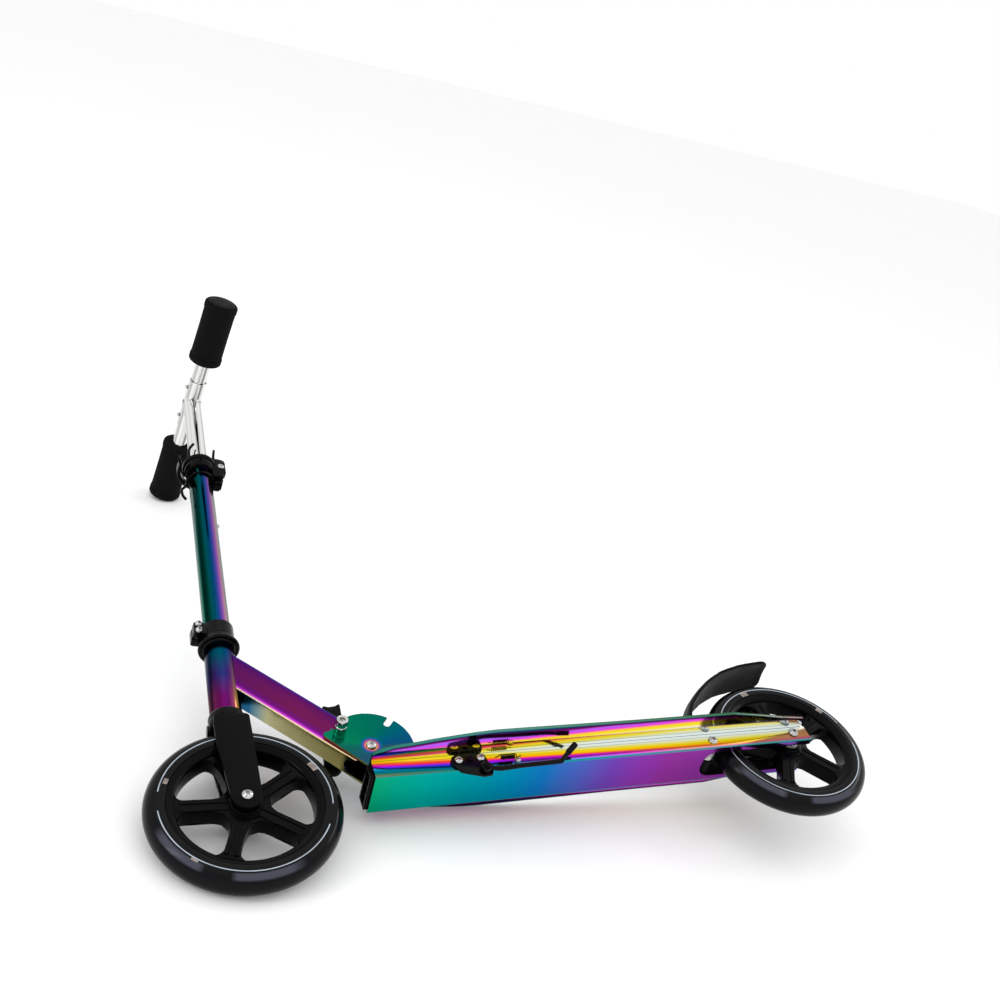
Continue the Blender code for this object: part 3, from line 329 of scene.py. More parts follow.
class Nodes:
    """A small way to write a node material."""

    def __init__(self, name, **sockets):
        self.material = bpy.data.materials.new(name)
        self.material.use_nodes = True
        self.tree = self.material.node_tree
        self.shader = self.tree.nodes["Principled BSDF"]
        for label, value in sockets.items():
            self.shader.inputs[socket_name(label)].default_value = value
        self.coordinates = self.tree.nodes.new("ShaderNodeTexCoord").outputs["Object"]

    def link(self, value, socket):
        if hasattr(value, "links"):
            self.tree.links.new(value, socket)
        else:
            socket.default_value = value

    def node(self, kind, **inputs):
        """A new node with values or outputs for its named inputs."""
        made = self.tree.nodes.new("ShaderNode" + kind)
        for label, value in inputs.items():
            self.link(value, made.inputs[label])
        return made

    def math(self, operation, *values):
        node = self.node("Math")
        node.operation = operation
        for value, socket in zip(values, node.inputs):
            self.link(value, socket)
        return node.outputs[0]

    def xyz(self):
        node = self.node("SeparateXYZ", Vector=self.coordinates)
        return node.outputs[0], node.outputs[1], node.outputs[2]

    def times(self, first, second):
        return self.math("MULTIPLY", first, second)

    def plus(self, first, second):
        return self.math("ADD", first, second)

    def minus(self, first, second):
        return self.math("SUBTRACT", first, second)

    def magnitude(self, value):
        return self.math("ABSOLUTE", value)

    def distance(self, first, second):
        """The distance from an axis, from the two coordinates across it."""
        return self.math("SQRT", self.plus(self.times(first, first), self.times(second, second)))

    def angle(self, up, along):
        """The angle round an axis, from -180 to 180 degrees."""
        return self.times(self.math("ARCTAN2", up, along), 180 / math.pi)

    def apart(self, angle, middle=-15.0):
        """How far an angle is from a middle one, either way round, from 0 to 180 degrees."""
        turned_on = self.math("MODULO", self.plus(angle, 540.0 - middle), 360.0)
        return self.magnitude(self.minus(turned_on, 180.0))

    def share(self, value, low, high):
        """How far a value is from one number to another, as 0 to 1."""
        return self.math("DIVIDE", self.minus(value, low), high - low)

    def ramp(self, value, stops, low=0.0, high=1.0):
        """A colour for a value, from stops of (value, hex colour)."""
        node = self.node("ValToRGB")
        self.link(self.share(value, low, high), node.inputs[0])
        band = node.color_ramp
        while len(band.elements) < len(stops):
            band.elements.new(0.5)
        for element, (place, _) in zip(band.elements, stops):
            element.position = (place - low) / (high - low)
        for element, (_, code) in zip(band.elements, stops):
            element.color = linear(code)
        return node.outputs[0]

    def curve(self, value, points):
        """A number for a value, through points of (value, result)."""
        node = self.node("FloatCurve")
        low, high = points[0][0], points[-1][0]
        results = [result for _, result in points]
        bottom, top = min(results), max(results)
        self.link(self.share(value, low, high), node.inputs["Value"])
        line = node.mapping.curves[0]
        while len(line.points) < len(points):
            line.points.new(0.5, 0.5)
        for point, (place, result) in zip(line.points, points):
            point.location = ((place - low) / (high - low), (result - bottom) / (top - bottom))
            point.handle_type = "VECTOR"
        node.mapping.update()
        return self.plus(self.times(node.outputs[0], top - bottom), bottom)

    def mix(self, factor, first, second):
        """A colour between two, each an output or a hex code."""
        node = self.node("Mix")
        node.data_type = "RGBA"
        self.link(factor, node.inputs[0])
        for colour, place in ((first, 6), (second, 7)):
            self.link(linear(colour) if isinstance(colour, str) else colour, node.inputs[place])
        return node.outputs[2]

    def noise(self, scale, detail=3.0, roughness=0.5):
        node = self.node("TexNoise", Scale=scale, Detail=detail, Roughness=roughness,
            Vector=self.coordinates)
        return node.outputs["Fac"]

    def cells(self, scale):
        return self.node("TexVoronoi", Scale=scale, Vector=self.coordinates).outputs["Distance"]

    def scaled(self, value, from_low, from_high, to_low=0.0, to_high=1.0):
        """A value moved from one range to another and kept inside it."""
        node = self.node("MapRange")
        for place, number in enumerate((value, from_low, from_high, to_low, to_high)):
            self.link(number, node.inputs[place])
        return node.outputs[0]

    def bump(self, height, distance, strength=1.0):
        node = self.node("Bump", Strength=strength, Distance=distance, Height=height)
        self.link(node.outputs[0], self.shader.inputs["Normal"])

    def set(self, **sockets):
        for label, value in sockets.items():
            self.link(value, self.shader.inputs[socket_name(label)])
        return self.material


def coated(colour, nodes, rough=0.14):
    """The mirror-like rainbow coating: metal with a very fine orange peel."""
    speck = nodes.noise(900.0, 2.0)
    nodes.bump(nodes.noise(60.0, 2.0), 0.00012, 0.1)
    polish = nodes.scaled(speck, 0.3, 0.7, rough - 0.02, rough + 0.03)
    return nodes.set(base_color=colour, metallic=1.0, specular_tint=(0.48, 0.52, 0.54, 1.0),
        roughness=polish)


RAINBOW = ((0.0, "6f7a70"), (0.1, "686636"), (0.25, "01665e"), (0.38, "036080"), (0.5, "0184a0"),
    (0.58, "5c80ec"), (0.66, "b05cf0"), (0.76, "e238dc"), (0.83, "ec5cc0"), (0.9, "f8a070"),
    (0.97, "f6d030"), (1.12, "f4e020"), (1.24, "f6ea8c"), (1.36, "f6f6e4"), (1.6, "eef6fa"))

n = Nodes("rainbow_underside")
x, y, _ = n.xyz()
along = n.ramp(n.plus(x, n.times(n.minus(n.noise(9.0, 1.0), 0.5), 0.02)),
    ((-0.03, "683ea4"), (0.1, "9439a6"), (0.17, "9a36a2"), (0.21, "9039b2"), (0.25, "7246b6"),
    (0.285, "4e62be"), (0.33, "1476be"), (0.37, "028ab0"), (0.42, "0099a4"), (0.47, "02a69c"),
    (0.505, "04a68a"), (0.53, "0da672")), -0.05, 0.55)
side = n.magnitude(y)
rim = n.ramp(side, ((0.0, "000000"), (0.025, "000000"), (0.0262, "ffffff"), (0.03, "ffffff")), 0.0, 0.03)
DECK_UNDER = coated(n.mix(n.times(rim, 0.75), along, "1c9a9c"), n)

n = Nodes("rainbow_wall")
x, _, z = n.xyz()
height = n.scaled(z, CHANNEL_LOW, 0.109)
lift = n.curve(x, ((-0.03, 0.7), (0.02, 0.76), (0.15, 0.8), (0.25, 0.58), (0.35, 0.44), (0.45, 0.16),
    (0.53, 0.02)))
growth = n.curve(x, ((-0.03, 0.74), (0.15, 0.72), (0.25, 0.94), (0.53, 1.0)))
bands = n.ramp(n.plus(n.times(height, growth), lift), RAINBOW, 0.0, 1.6)
wedge = n.scaled(n.plus(n.times(x, 0.16), z), 0.101, 0.1035, 1.0, 0.0)
wedge = n.times(wedge, n.scaled(x, 0.06, 0.1, 1.0, 0.0))
bands = n.mix(n.times(wedge, 0.85), bands, "7c3a46")
foot = n.times(n.scaled(height, 0.05, 0.12, 1.0, 0.0), n.scaled(x, 0.28, 0.4, 0.9, 0.3))
DECK_WALL = coated(n.mix(foot, bands, "0a8c88"), n, 0.1)

n = Nodes("rainbow_board")
x, y, _ = n.xyz()
# Next to the side wall the plate is painted with the wall's rainbow bands mirrored, palest at the corner: a
# painted reflection of the wall. A darker line is painted about 5 mm out from the wall.
reach = n.minus(n.magnitude(y), CHANNEL_WALL)
start = n.curve(x, ((-0.03, 0.0135), (0.06, 0.013), (0.15, 0.012), (0.25, 0.009), (0.35, 0.005),
    (0.42, 0.0035), (0.48, 0.0), (0.53, -0.006)))
reflection_depth = n.times(n.minus(reach, start), 50.0)
outer = n.math("MAXIMUM", n.minus(1.45, reflection_depth), 0.66)
board = n.ramp(outer, RAINBOW, 0.0, 1.6)
half = n.curve(x, ((-0.016, 0.0415), (0.017, 0.0456), (0.05, 0.0518), (0.09, 0.0583), (0.216, 0.058),
    (0.357, 0.0592), (0.39, 0.0592), (0.413, 0.0577), (0.46, 0.0523), (0.482, 0.049), (0.504, 0.0466),
    (0.5272, 0.038)))
dark = n.curve(x, ((-0.016, 0.003), (0.15, 0.0032), (0.25, 0.0038), (0.31, 0.007), (0.36, 0.0095),
    (0.42, 0.005), (0.5272, 0.0035)))
inside = n.math("DIVIDE", n.minus(half, n.magnitude(y)), dark)
border = n.ramp(inside, ((0.0, "2c8a80"), (0.12, "0a5a64"), (0.3, "1c1c54"), (0.6, "5e0a5c"),
    (1.0, "a82078")), 0.0, 1.2)
board = n.mix(n.scaled(inside, 0.85, 1.15, 1.0, 0.0), board, border)
seam = n.scaled(n.magnitude(n.minus(reach, 0.0052)), 0.0004, 0.001, 1.0, 0.0)
BOARD_UNDER = coated(n.mix(n.times(seam, 0.45), board, "6a7a80"), n, 0.08)


def along_deck(name, stops, rough):
    """The coating with colours that change along the deck only."""
    n = Nodes(name)
    return coated(n.ramp(n.xyz()[0], stops, -0.05, 0.55), n, rough)


EDGE = along_deck("rainbow_edge", ((-0.03, "14908c"), (0.15, "109a92"), (0.22, "3aa69a"), (0.3, "7cb08a"),
    (0.4, "a8908c"), (0.46, "c096a8"), (0.53, "8ab08a")), 0.16)
RIM = along_deck("rainbow_rim", ((-0.03, "6a4a50"), (0.1, "3f6a50"), (0.25, "4a7a62"), (0.35, "4f7f74"),
    (0.45, "3c7a70"), (0.53, "2c7060")), 0.18)

n = Nodes("rainbow_bracket")
x, _, z = n.xyz()
around = n.distance(x, z)
sweep = n.math("ARCTAN2", z, x)
body_colour = n.ramp(n.math("DIVIDE", sweep, math.pi), ((-0.3, "1d4a60"), (0.0, "0d5a50"), (0.12, "04704f"),
    (0.3, "01694c"), (0.5, "00634e"), (0.7, "015d55"), (0.85, "00536a"), (1.0, "0a4470")), -0.5, 1.0)
halo = n.ramp(around, ((0.0, "d8b060"), (0.0066, "c88a4c"), (0.0078, "a04870"), (0.0092, "46409a"),
    (0.011, "08587a"), (0.014, "026064")), 0.0, 0.05)
near = n.scaled(around, 0.0095, 0.015, 1.0, 0.0)
BRACKET = coated(n.mix(near, body_colour, halo), n, 0.12)

n = Nodes("bracket_edge")
tone = n.ramp(n.noise(18.0, 1.0), ((0.35, "6e8a3a"), (0.5, "9a8a48"), (0.65, "5c9a6a")), 0.3, 0.7)
EDGE_GOLD = coated(tone, n, 0.2)

n = Nodes("rainbow_neck_side")
x, _, z = n.xyz()
tone = n.ramp(z, ((-0.0268, "6a5630"), (-0.0258, "e8cf96"), (-0.0248, "e060d8"), (-0.0225, "8a1e9a"),
    (-0.0195, "64126a"), (-0.012, "66184a"), (0.0, "651750"), (0.008, "561358"), (0.0105, "4a1470"),
    (0.0125, "2a3a80"), (0.0136, "3c7a8a")), -0.028, 0.015)
head_end = n.scaled(x, 0.1, 0.19)
NECK_SIDE = coated(n.mix(head_end, tone, n.mix(0.45, tone, "2c0a58")), n, 0.13)

n = Nodes("rainbow_neck_under")
x = n.xyz()[0]
tone = n.ramp(x, ((0.0, "0c1418"), (0.012, "2a2c20"), (0.019, "c4b870"), (0.05, "dcd290"), (0.09, "eae2a2"),
    (0.118, "e8e4ae"), (0.13, "96b8b8"), (0.142, "2c74a0"), (0.165, "1c4c70")), -0.01, 0.17)
NECK_UNDER = coated(tone, n, 0.26)

n = Nodes("rainbow_neck_top")
x = n.xyz()[0]
tone = n.ramp(x, ((0.0, "08505a"), (0.06, "0a6a78"), (0.12, "20508a"), (0.19, "3a2a80")), -0.01, 0.2)
NECK_TOP = coated(tone, n, 0.14)

n = Nodes("rainbow_head")
x, y, z = n.xyz()
# Colour by angle round the head tube and by height: the coating's hues with painted light and dark
# reflection bands.
turn = n.angle(n.magnitude(y), x)
low_tone = n.ramp(turn, ((0, "a08080"), (14, "5a3040"), (30, "200c14"), (44, "64204c"), (60, "601048"),
    (80, "660f62"), (98, "581256"), (112, "86345c"), (124, "9a6a40"), (134, "8a7034"), (150, "4e4a28"),
    (180, "30402a")), 0, 180)
high_tone = n.ramp(turn, ((0, "605870"), (20, "3a3a5a"), (34, "08101f"), (50, "06384a"), (68, "064a60"),
    (84, "035468"), (100, "04486c"), (112, "204a80"), (124, "3a2a5c"), (140, "20123a"), (160, "2c3a4a"),
    (180, "405a5a")), 0, 180)
mid_tone = n.ramp(turn, ((0, "584868"), (20, "3a2a5a"), (34, "0c0a20"), (46, "2a1848"), (60, "2e2262"),
    (80, "283270"), (98, "2c2468"), (112, "502a70"), (124, "7a4a60"), (136, "4a3040"), (160, "3a3a4a"),
    (180, "405050")), 0, 180)
lower = n.mix(n.scaled(z, 0.145, 0.178), low_tone, mid_tone)
HEAD = coated(n.mix(n.scaled(z, 0.184, 0.212), lower, high_tone), n, 0.14)

n = Nodes("rainbow_column")
x, y, _ = n.xyz()
# Colour by angle round the tube: the coating's rainbow hues laid out with painted light and dark reflection
# bands, the same on the hidden side.
tone = n.ramp(n.apart(n.angle(y, x)), ((0, "2a4048"), (16, "3c7060"), (26, "64967e"), (33, "266450"),
    (40, "04301e"), (52, "02201a"), (64, "00342c"), (76, "004e50"), (89, "024662"), (102, "144282"),
    (114, "5646a4"), (126, "a05cac"), (138, "c494a0"), (156, "7c8c80"), (178, "3c5c60")), 0, 180)
COLUMN_COAT_AND_REFLECTIONS = coated(tone, n, 0.1)


def chrome(name, tone, rough):
    n = Nodes(name)
    streak = n.noise(140.0, 3.0)
    n.bump(n.noise(400.0, 2.0), 0.00004, 0.15)
    polish = n.scaled(streak, 0.3, 0.7, rough, rough + 0.05)
    return n.set(base_color=n.mix(n.scaled(streak, 0.35, 0.65), tone, "cfcfcd"), metallic=1.0,
        roughness=polish)


def banded_reflection_chrome(name, turned_about):
    """A polished tube, with painted dark and light reflection bands round it, such as a polished round face
    shows.
    """
    n = Nodes(name)
    x, y, z = n.xyz()
    angle = n.angle(y if turned_about == "z" else z, x)
    tone = n.ramp(n.apart(angle), ((0, "d2d2d0"), (28, "aaaaa8"), (40, "ececea"), (58, "d6d6d4"),
        (76, "eaeae8"), (88, "b8b7b4"), (94, "5c5a56"), (99, "8c8a86"), (105, "c8c7c4"), (120, "ececea"),
        (136, "dededc"), (150, "a6a5a2"), (162, "c6c6c4"), (180, "e2e2e0")), 0, 180)
    n.bump(n.noise(400.0, 2.0), 0.00004, 0.12)
    polish = n.scaled(n.noise(140.0, 3.0), 0.3, 0.7, 0.08, 0.14)
    return n.set(base_color=tone, metallic=1.0, roughness=polish)


CHROME = chrome("chrome", "a4a4a4", 0.08)
BRIGHT = banded_reflection_chrome("bright_post", "z")
BRIGHT_ACROSS = banded_reflection_chrome("bright_handle", "y")
STEEL = chrome("ground_steel", "8c8c8e", 0.25)


def black(name, tone, rough, grain, depth, shine):
    """Black plastic or paint with a fine grain and faint lighter scuffs."""
    n = Nodes(name, specular_ior_level=shine)
    scuff = n.scaled(n.noise(26.0, 5.0, 0.65), 0.45, 0.75, 0.0, 0.25)
    n.bump(n.noise(grain, 4.0), depth, 0.35)
    wear = n.scaled(n.noise(70.0, 3.0), 0.3, 0.7, rough - 0.05, rough + 0.07)
    return n.set(base_color=n.mix(scuff, tone, "121213"), roughness=wear)


PLASTIC = black("black_plastic", "040404", 0.2, 1400.0, 0.00005, 0.05)
MATTE = black("matte_plastic", "070707", 0.38, 1800.0, 0.0001, 0.05)
PAINT = black("black_paint", "040404", 0.22, 900.0, 0.00004, 0.05)
GLOSS = black("gloss_black", "030304", 0.14, 300.0, 0.00003, 0.1)
# The inside of the deck's channel: near-black as painted shade.
CHANNEL_SHADE = black("channel_inside_shade", "0a070c", 0.3, 500.0, 0.00004, 0.3)

n = Nodes("foam", specular_ior_level=0.08)
pores = n.cells(1500.0)
n.bump(n.plus(pores, n.times(n.noise(500.0, 4.0), 0.8)), 0.0005, 0.7)
FOAM = n.set(base_color=n.mix(n.scaled(n.noise(900.0, 3.0), 0.35, 0.7), "060606", "151515"), roughness=0.93)

n = Nodes("grip_tape", specular_ior_level=0.15)
grit = n.cells(1300.0)
n.bump(n.plus(grit, n.noise(2600.0, 2.0)), 0.0004, 0.9)
TAPE = n.set(base_color=n.mix(n.scaled(n.noise(2400.0, 2.0), 0.58, 0.68), "0c0c0d", "3a3a3c"),
    roughness=0.9)

n = Nodes("tyre", specular_ior_level=0.1)
x, y, _ = n.xyz()
radius = n.distance(x, y)
tone_and_reflections = n.mix(n.scaled(radius, 0.08, 0.0985), "050506", "09090c")
tone_and_reflections = n.mix(n.scaled(n.noise(30.0, 3.0), 0.5, 0.8, 0.0, 0.3), tone_and_reflections, "111116")
# Painted reflections: two pale patches at given angles round the tyre, on a narrow ring of its side, stand
# in for softbox highlights.
around = n.angle(y, x)
first_reflection = n.times(n.scaled(around, 18.0, 26.0), n.scaled(around, 56.0, 60.0, 1.0, 0.0))
second_reflection = n.times(n.scaled(around, 76.0, 80.0), n.scaled(around, 112.0, 124.0, 1.0, 0.0))
band = n.times(n.scaled(radius, 0.0885, 0.09), n.scaled(radius, 0.0945, 0.0962, 1.0, 0.0))
tone_and_reflections = n.mix(n.times(n.plus(first_reflection, second_reflection), n.times(band, 0.85)), tone_and_reflections, "464854")
n.bump(n.noise(45.0, 2.0), 0.0002, 0.05)
TYRE = n.set(base_color=tone_and_reflections, roughness=n.scaled(n.noise(90.0, 2.0), 0.3, 0.7, 0.1, 0.17))

n = Nodes("pinstripe")
STRIPE = n.set(base_color=n.mix(n.scaled(n.noise(60.0, 3.0), 0.4, 0.7), "a9b4c0", "8f99a4"), roughness=0.3)

# Flat pale patches on the tyres' sides: painted reflections.
n = Nodes("painted_reflection_patch")
REFLECTION_PATCH = n.set(base_color=n.mix(n.scaled(n.noise(120.0, 3.0), 0.4, 0.7), "8c8078", "6c625c"), roughness=0.25)


# ---- wheels -----------------------------------------------------------------------------------
def window(middle):
    """The outline of the opening between two spokes, from its widths at a row of radii."""
    sides = [(0.0257, 0.011), (0.029, 0.0094), (0.035, 0.0082), (0.045, 0.0074), (0.056, 0.0073),
        (0.062, 0.0084), (0.066, 0.0104), (0.069, 0.0136)]
    one = [(radius, 36.0 - math.degrees(math.asin(half / radius))) for radius, half in sides]
    edge = [(radius, middle - spread) for radius, spread in one]
    reach = one[-1][1] - 3.0
    edge += [(0.0706, middle - reach + 2 * reach * k / 10) for k in range(11)]
    edge += [(radius, middle + spread) for radius, spread in reversed(one)]
    return [polar(radius, angle) for radius, angle in edge]


def spoke_rib(bm, angle, side):
    """A V of two raised ribs along a spoke, from the hub to the rim."""
    for sign in (1, -1):
        low = Vector((0.018, sign * 0.0046, 0))
        high = Vector((0.0655, sign * 0.005, 0))
        along = (high - low).normalized()
        across = Vector((-along.y, along.x, 0)) * 0.003
        base, top = side * 0.0088, side * 0.0106
        corners = []
        for place in (low, high):
            for spread, level in ((1.0, base), (-1.0, base), (-0.75, top), (0.75, top)):
                corners.append(place + across * spread + Vector((0, 0, level)))
        turn = rotation("Z", angle)
        verts = [bm.verts.new(turn @ corner) for corner in corners]
        for quad in ((0, 1, 2, 3), (7, 6, 5, 4), (0, 4, 5, 1), (1, 5, 6, 2), (2, 6, 7, 3), (3, 7, 4, 0)):
            bm.faces.new([verts[k] for k in quad])


def tyre_marks(name, spans, height, place, body, material):
    """Thin flat marks on both sides of a tyre, from spans of (start, length, inner, outer, steps)."""
    bm = bmesh.new()
    for side in (1, -1):
        for start, length, inner, outer, steps in spans:
            for k in range(steps):
                corners = []
                for radius, j in ((inner, k), (outer, k), (outer, k + 1), (inner, k + 1)):
                    x, y = polar(radius, start + length * j / steps)
                    corners.append(bm.verts.new((x, -y, side * height)))
                bm.faces.new(corners if side < 0 else corners[::-1])
    bmesh.ops.remove_doubles(bm, verts=bm.verts, dist=0.00001)
    piece(name, to_mesh(bm, False), place, body, [material], slot="tyre")


def both_sides(half):
    """A closed profile from one half of it, followed by that half mirrored in height."""
    return half + [(radius, -height) for radius, height in reversed(half)]


def wheel(end, axle, body, spoke_angle, stripes, reflection_patches):
    place = axle @ ACROSS
    radius, thickness, rounding = 0.0745, 0.019, 0.0012
    windows = [window(spoke_angle + 36 + 72 * k) for k in range(5)]
    web = slab([arc((0, 0), radius, 0, 360, 96)[:-1]] + windows, thickness, rounding)
    bm = bmesh.new()
    bm.from_mesh(web)
    rim = [(0.079, 0.0136), (0.0786, 0.0141), (0.078, 0.0142), (0.0724, 0.0118), (0.0712, 0.0108),
        (0.0707, 0.0085)]
    lathe(bm, both_sides(rim), 128, None, True)
    hub = [(0.0068, 0.0122), (0.015, 0.0125), (0.0165, 0.0118), (0.0172, 0.0098), (0.02, 0.009)]
    lathe(bm, both_sides(hub), 72, None, True)
    for k in range(5):
        for side in (1, -1):
            spoke_rib(bm, spoke_angle + 72 * k, side)
    piece(end + "_wheel_spokes", to_mesh(bm), place, body, [PLASTIC], slot="black_plastic",
        replaces=[end + "_wheel_core"], smooth=35)
    bead = [(0.0793, 0.0146), (0.08, 0.0149), (0.084, 0.015)]
    angles = [math.radians(84 - 12 * k) for k in range(15)]
    tread = bead + [(0.0868 + 0.0132 * math.cos(a), 0.0149 * math.sin(a)) for a in angles]
    tread += [(radius, -height) for radius, height in reversed(bead)]
    turned(end + "_tyre_body", tread, place, body, TYRE, True, 160, slot="tyre", replaces=[end + "_tyre"],
        smooth=50)
    lines = [(start, length, 0.0862, 0.0874, length // 3) for start, length in stripes]
    tyre_marks(end + "_tyre_stripe", lines, 0.01508, place, body, STRIPE)
    reflection_spots = [(angle - width / 2, width, inner, outer, 4) for angle, inner, outer, width in reflection_patches]
    tyre_marks(end + "_tyre_painted_reflections", reflection_spots, 0.01504, place, body, REFLECTION_PATCH)


# A stripe is (start, length) and a painted reflection patch is (middle, inner radius, outer radius,
# width), in degrees and metres.
FRONT_REFLECTIONS = ((92, 0.08, 0.0862, 6), (150, 0.08, 0.0862, 8), (20, 0.08, 0.0845, 5),
    (-52, 0.0876, 0.0905, 5))
REAR_REFLECTIONS = ((75, 0.08, 0.0862, 7), (148, 0.08, 0.0862, 6), (30, 0.08, 0.0862, 5))
wheel("front", FRONT, "front_wheel", 0.7, ((10, 176), (204, 150)), FRONT_REFLECTIONS)
wheel("rear", REAR, "rear_wheel", -11.0, ((188, 338),), REAR_REFLECTIONS)


# ---- deck -------------------------------------------------------------------------------------
def channel_face(centre, normal):
    """Which finish a face of the channel has: the underside, a side wall, a cut edge, or the inside, which
    is painted near-black as shade.
    """
    if abs(normal.y) > 0.35 and abs(centre.y) > 0.027:
        return 1
    if abs(normal.x) > 0.5:
        return 2
    if centre.z > 0.088 and abs(centre.y) < 0.027:
        return 3
    return 0


def wheel_slot():
    """The outline of the opening for the rear wheel, open at the back."""
    front, half, corner = 0.125, 0.02, 0.0165
    right = arc((front - corner, -half + corner), corner, -90, 0, 10)
    left = arc((front - corner, half - corner), corner, 0, 90, 10)
    return [(-0.06, -half)] + right + left + [(-0.06, half)]


def channel():
    wall, low, high = CHANNEL_WALL, CHANNEL_LOW, 0.1087
    bend, sheet = 0.0014, 0.0025
    outer = [(-wall, high), (-wall, low + bend)]
    outer += [(-wall + bend - x, low + bend - y) for x, y in arc((0, 0), bend, 22.5, 67.5, 2)]
    outer += [(-wall + bend, low)]
    inner = [(wall - sheet, high), (wall - sheet, low + sheet), (-wall + sheet, low + sheet),
        (-wall + sheet, high)]
    loop = outer + [(-y, z) for y, z in reversed(outer)] + inner
    front, back, step = 0.5265, -0.02, 0.0105
    stations = [front - step * k for k in range(52)] + [back]
    bm = bmesh.new()
    skin(bm, [[bm.verts.new((x, y, z)) for y, z in loop] for x in stations])
    mesh = carved(to_mesh(bm), slab([wheel_slot()], 0.04), shift(0, 0, low))
    paint(mesh, channel_face)
    piece("deck_shell", mesh, SCOOTER, "deck", (DECK_UNDER, DECK_WALL, EDGE, CHANNEL_SHADE),
        slot="anodised_deck", replaces=["deck_channel"], smooth=30)


PLAN = ((0.5272, 0.029), (0.5265, 0.037), (0.5235, 0.0405), (0.5175, 0.0433), (0.504, 0.0466),
    (0.482, 0.049), (0.46, 0.0523), (0.433, 0.0555), (0.413, 0.0577), (0.39, 0.0592), (0.357, 0.0592),
    (0.216, 0.058), (0.09, 0.0583), (0.05, 0.0518), (0.017, 0.0456), (-0.016, 0.0415))


def plan(margin):
    """The foot plate's whole outline, made smaller by a margin."""
    left = [(min(max(x, PLAN[-1][0] + margin), PLAN[0][0] - margin), y - margin) for x, y in PLAN]
    whole = left + [(x, -y) for x, y in reversed(left)]
    radii = [0.001] + [0.004] * (len(PLAN) - 2) + [0.003]
    return rounded(whole, radii + radii[::-1], 3)


def board():
    thickness, middle = 0.004, 0.111
    mesh = carved(slab([plan(0.0)], thickness, 0.0008), slab([wheel_slot()], 0.02))
    paint(mesh, lambda centre, normal: 0 if abs(normal.z) > 0.9 else 1)
    mesh.transform(shift(0, 0, middle))
    piece("foot_board", mesh, SCOOTER, "deck", (BOARD_UNDER, RIM), slot="anodised_deck",
        replaces=["foot_plate"], smooth=30)


def tape():
    inset, thickness, middle = 0.0045, 0.001, 0.1138
    mesh = carved(slab([plan(inset)], thickness, 0.0002), slab([wheel_slot()], 0.02))
    notch = [(0.464, -0.019), (0.6, -0.019), (0.6, 0.019), (0.464, 0.019)]
    mesh = carved(mesh, slab([notch], 0.02))
    mesh.transform(shift(0, 0, middle))
    piece("deck_grip_tape", mesh, SCOOTER, "deck", [TAPE], slot="grip_tape", replaces=["grip_tape"],
        smooth=30)


def front_cap():
    inner = CHANNEL_WALL - 0.0028
    cap = box_mesh((0.5, -inner, 0.0903), (0.531, inner, 0.1084))
    recess = box_mesh((0.518, -inner + 0.003, 0.0935), (0.56, inner - 0.003, 0.1052))
    parts = [carved(cap, recess)]
    for y in (-0.012, 0.0, 0.012):
        parts.append(box_mesh((0.515, y - 0.0008, 0.0925), (0.529, y + 0.0008, 0.1062)))
    piece("deck_end_cap", merged(parts), SCOOTER, "deck", [PLASTIC], slot="black_plastic",
        replaces=["deck_front_cap"], smooth=0, bevel=0.0004)


channel()
board()
tape()
front_cap()


# ---- bolts ------------------------------------------------------------------------------------
def bolt(name, place, body, node, head, shank, head_low, head_high, tail, socket=0.0022, back=None):
    """A button-head bolt with a hexagon socket, across the scooter, with its head on the left."""
    brim = head_low + 0.0006
    turns = [math.radians(15 * k) for k in range(6)]
    dome = [(head * math.cos(a), brim + (head_high - brim) * math.sin(a)) for a in turns]
    flat = socket + 0.0006
    crown = head_high - 0.0001
    profile = [(0.0, tail), (shank, tail), (shank, head_low), (head, head_low)]
    profile += [point for point in dome if point[0] > flat] + [(flat, crown)]
    bm = bmesh.new()
    rings = lathe(bm, profile, 48)
    hexagon, floor = [], []
    for k in range(48):
        a = TAU * k / 48
        reach = socket / math.cos(((a + math.pi / 6) % (math.pi / 3)) - math.pi / 6)
        hexagon.append(bm.verts.new((reach * math.cos(a), reach * math.sin(a), crown - 0.0001)))
        floor.append(bm.verts.new((reach * math.cos(a), reach * math.sin(a), head_low + 0.0004)))
    for k in range(48):
        following = (k + 1) % 48
        bm.faces.new((rings[-1][k], rings[-1][following], hexagon[following], hexagon[k]))
        bm.faces.new((hexagon[k], hexagon[following], floor[following], floor[k]))
    bm.faces.new(floor)
    if back:
        lathe(bm, [(r, -h) for r, h in back], 48)
    piece(name, to_mesh(bm), place @ ACROSS, body, [CHROME], slot="chrome", replaces=[node], smooth=32)


def dome_back(head, reach, rise):
    """The profile of a plain round head at a bolt's other end."""
    brim = reach + 0.0006
    turns = [math.radians(degrees) for degrees in (20, 40, 60, 75, 90)]
    dome = [(head * math.sin(a), brim + (reach + rise - brim) * math.cos(a)) for a in turns]
    return [(0.0, reach + rise)] + dome + [(head, reach), (0.0, reach)]


bolt("rear_axle_screw", REAR, "deck", "rear_axle_bolt", 0.0062, 0.0039, 0.028, 0.0322, -0.0335)
bolt("front_axle_screw", FRONT, "steering", "front_axle_bolt", 0.0062, 0.0039, 0.0223, 0.0265, -0.0278)
bolt("brake_screw", BRAKE, "deck", "brake_pivot", 0.0058, 0.003, 0.028, 0.0312, -0.0285, 0.002,
    dome_back(0.0058, 0.028, 0.0032))
bolt("fold_screw", FOLD, "deck", "fold_pivot", 0.0058, 0.003, 0.0163, 0.0195, -0.0168, 0.002,
    dome_back(0.0058, 0.0163, 0.0032))
for name, x, z in (("front", 0.4323, 0.098), ("rear", 0.4071, 0.099)):
    bolt("stand_screw_" + name, SCOOTER @ shift(x, 0, z), "deck", "kickstand_bolt_" + name, 0.0047, 0.0025,
        0.0313, 0.0344, 0.022, 0.0016)
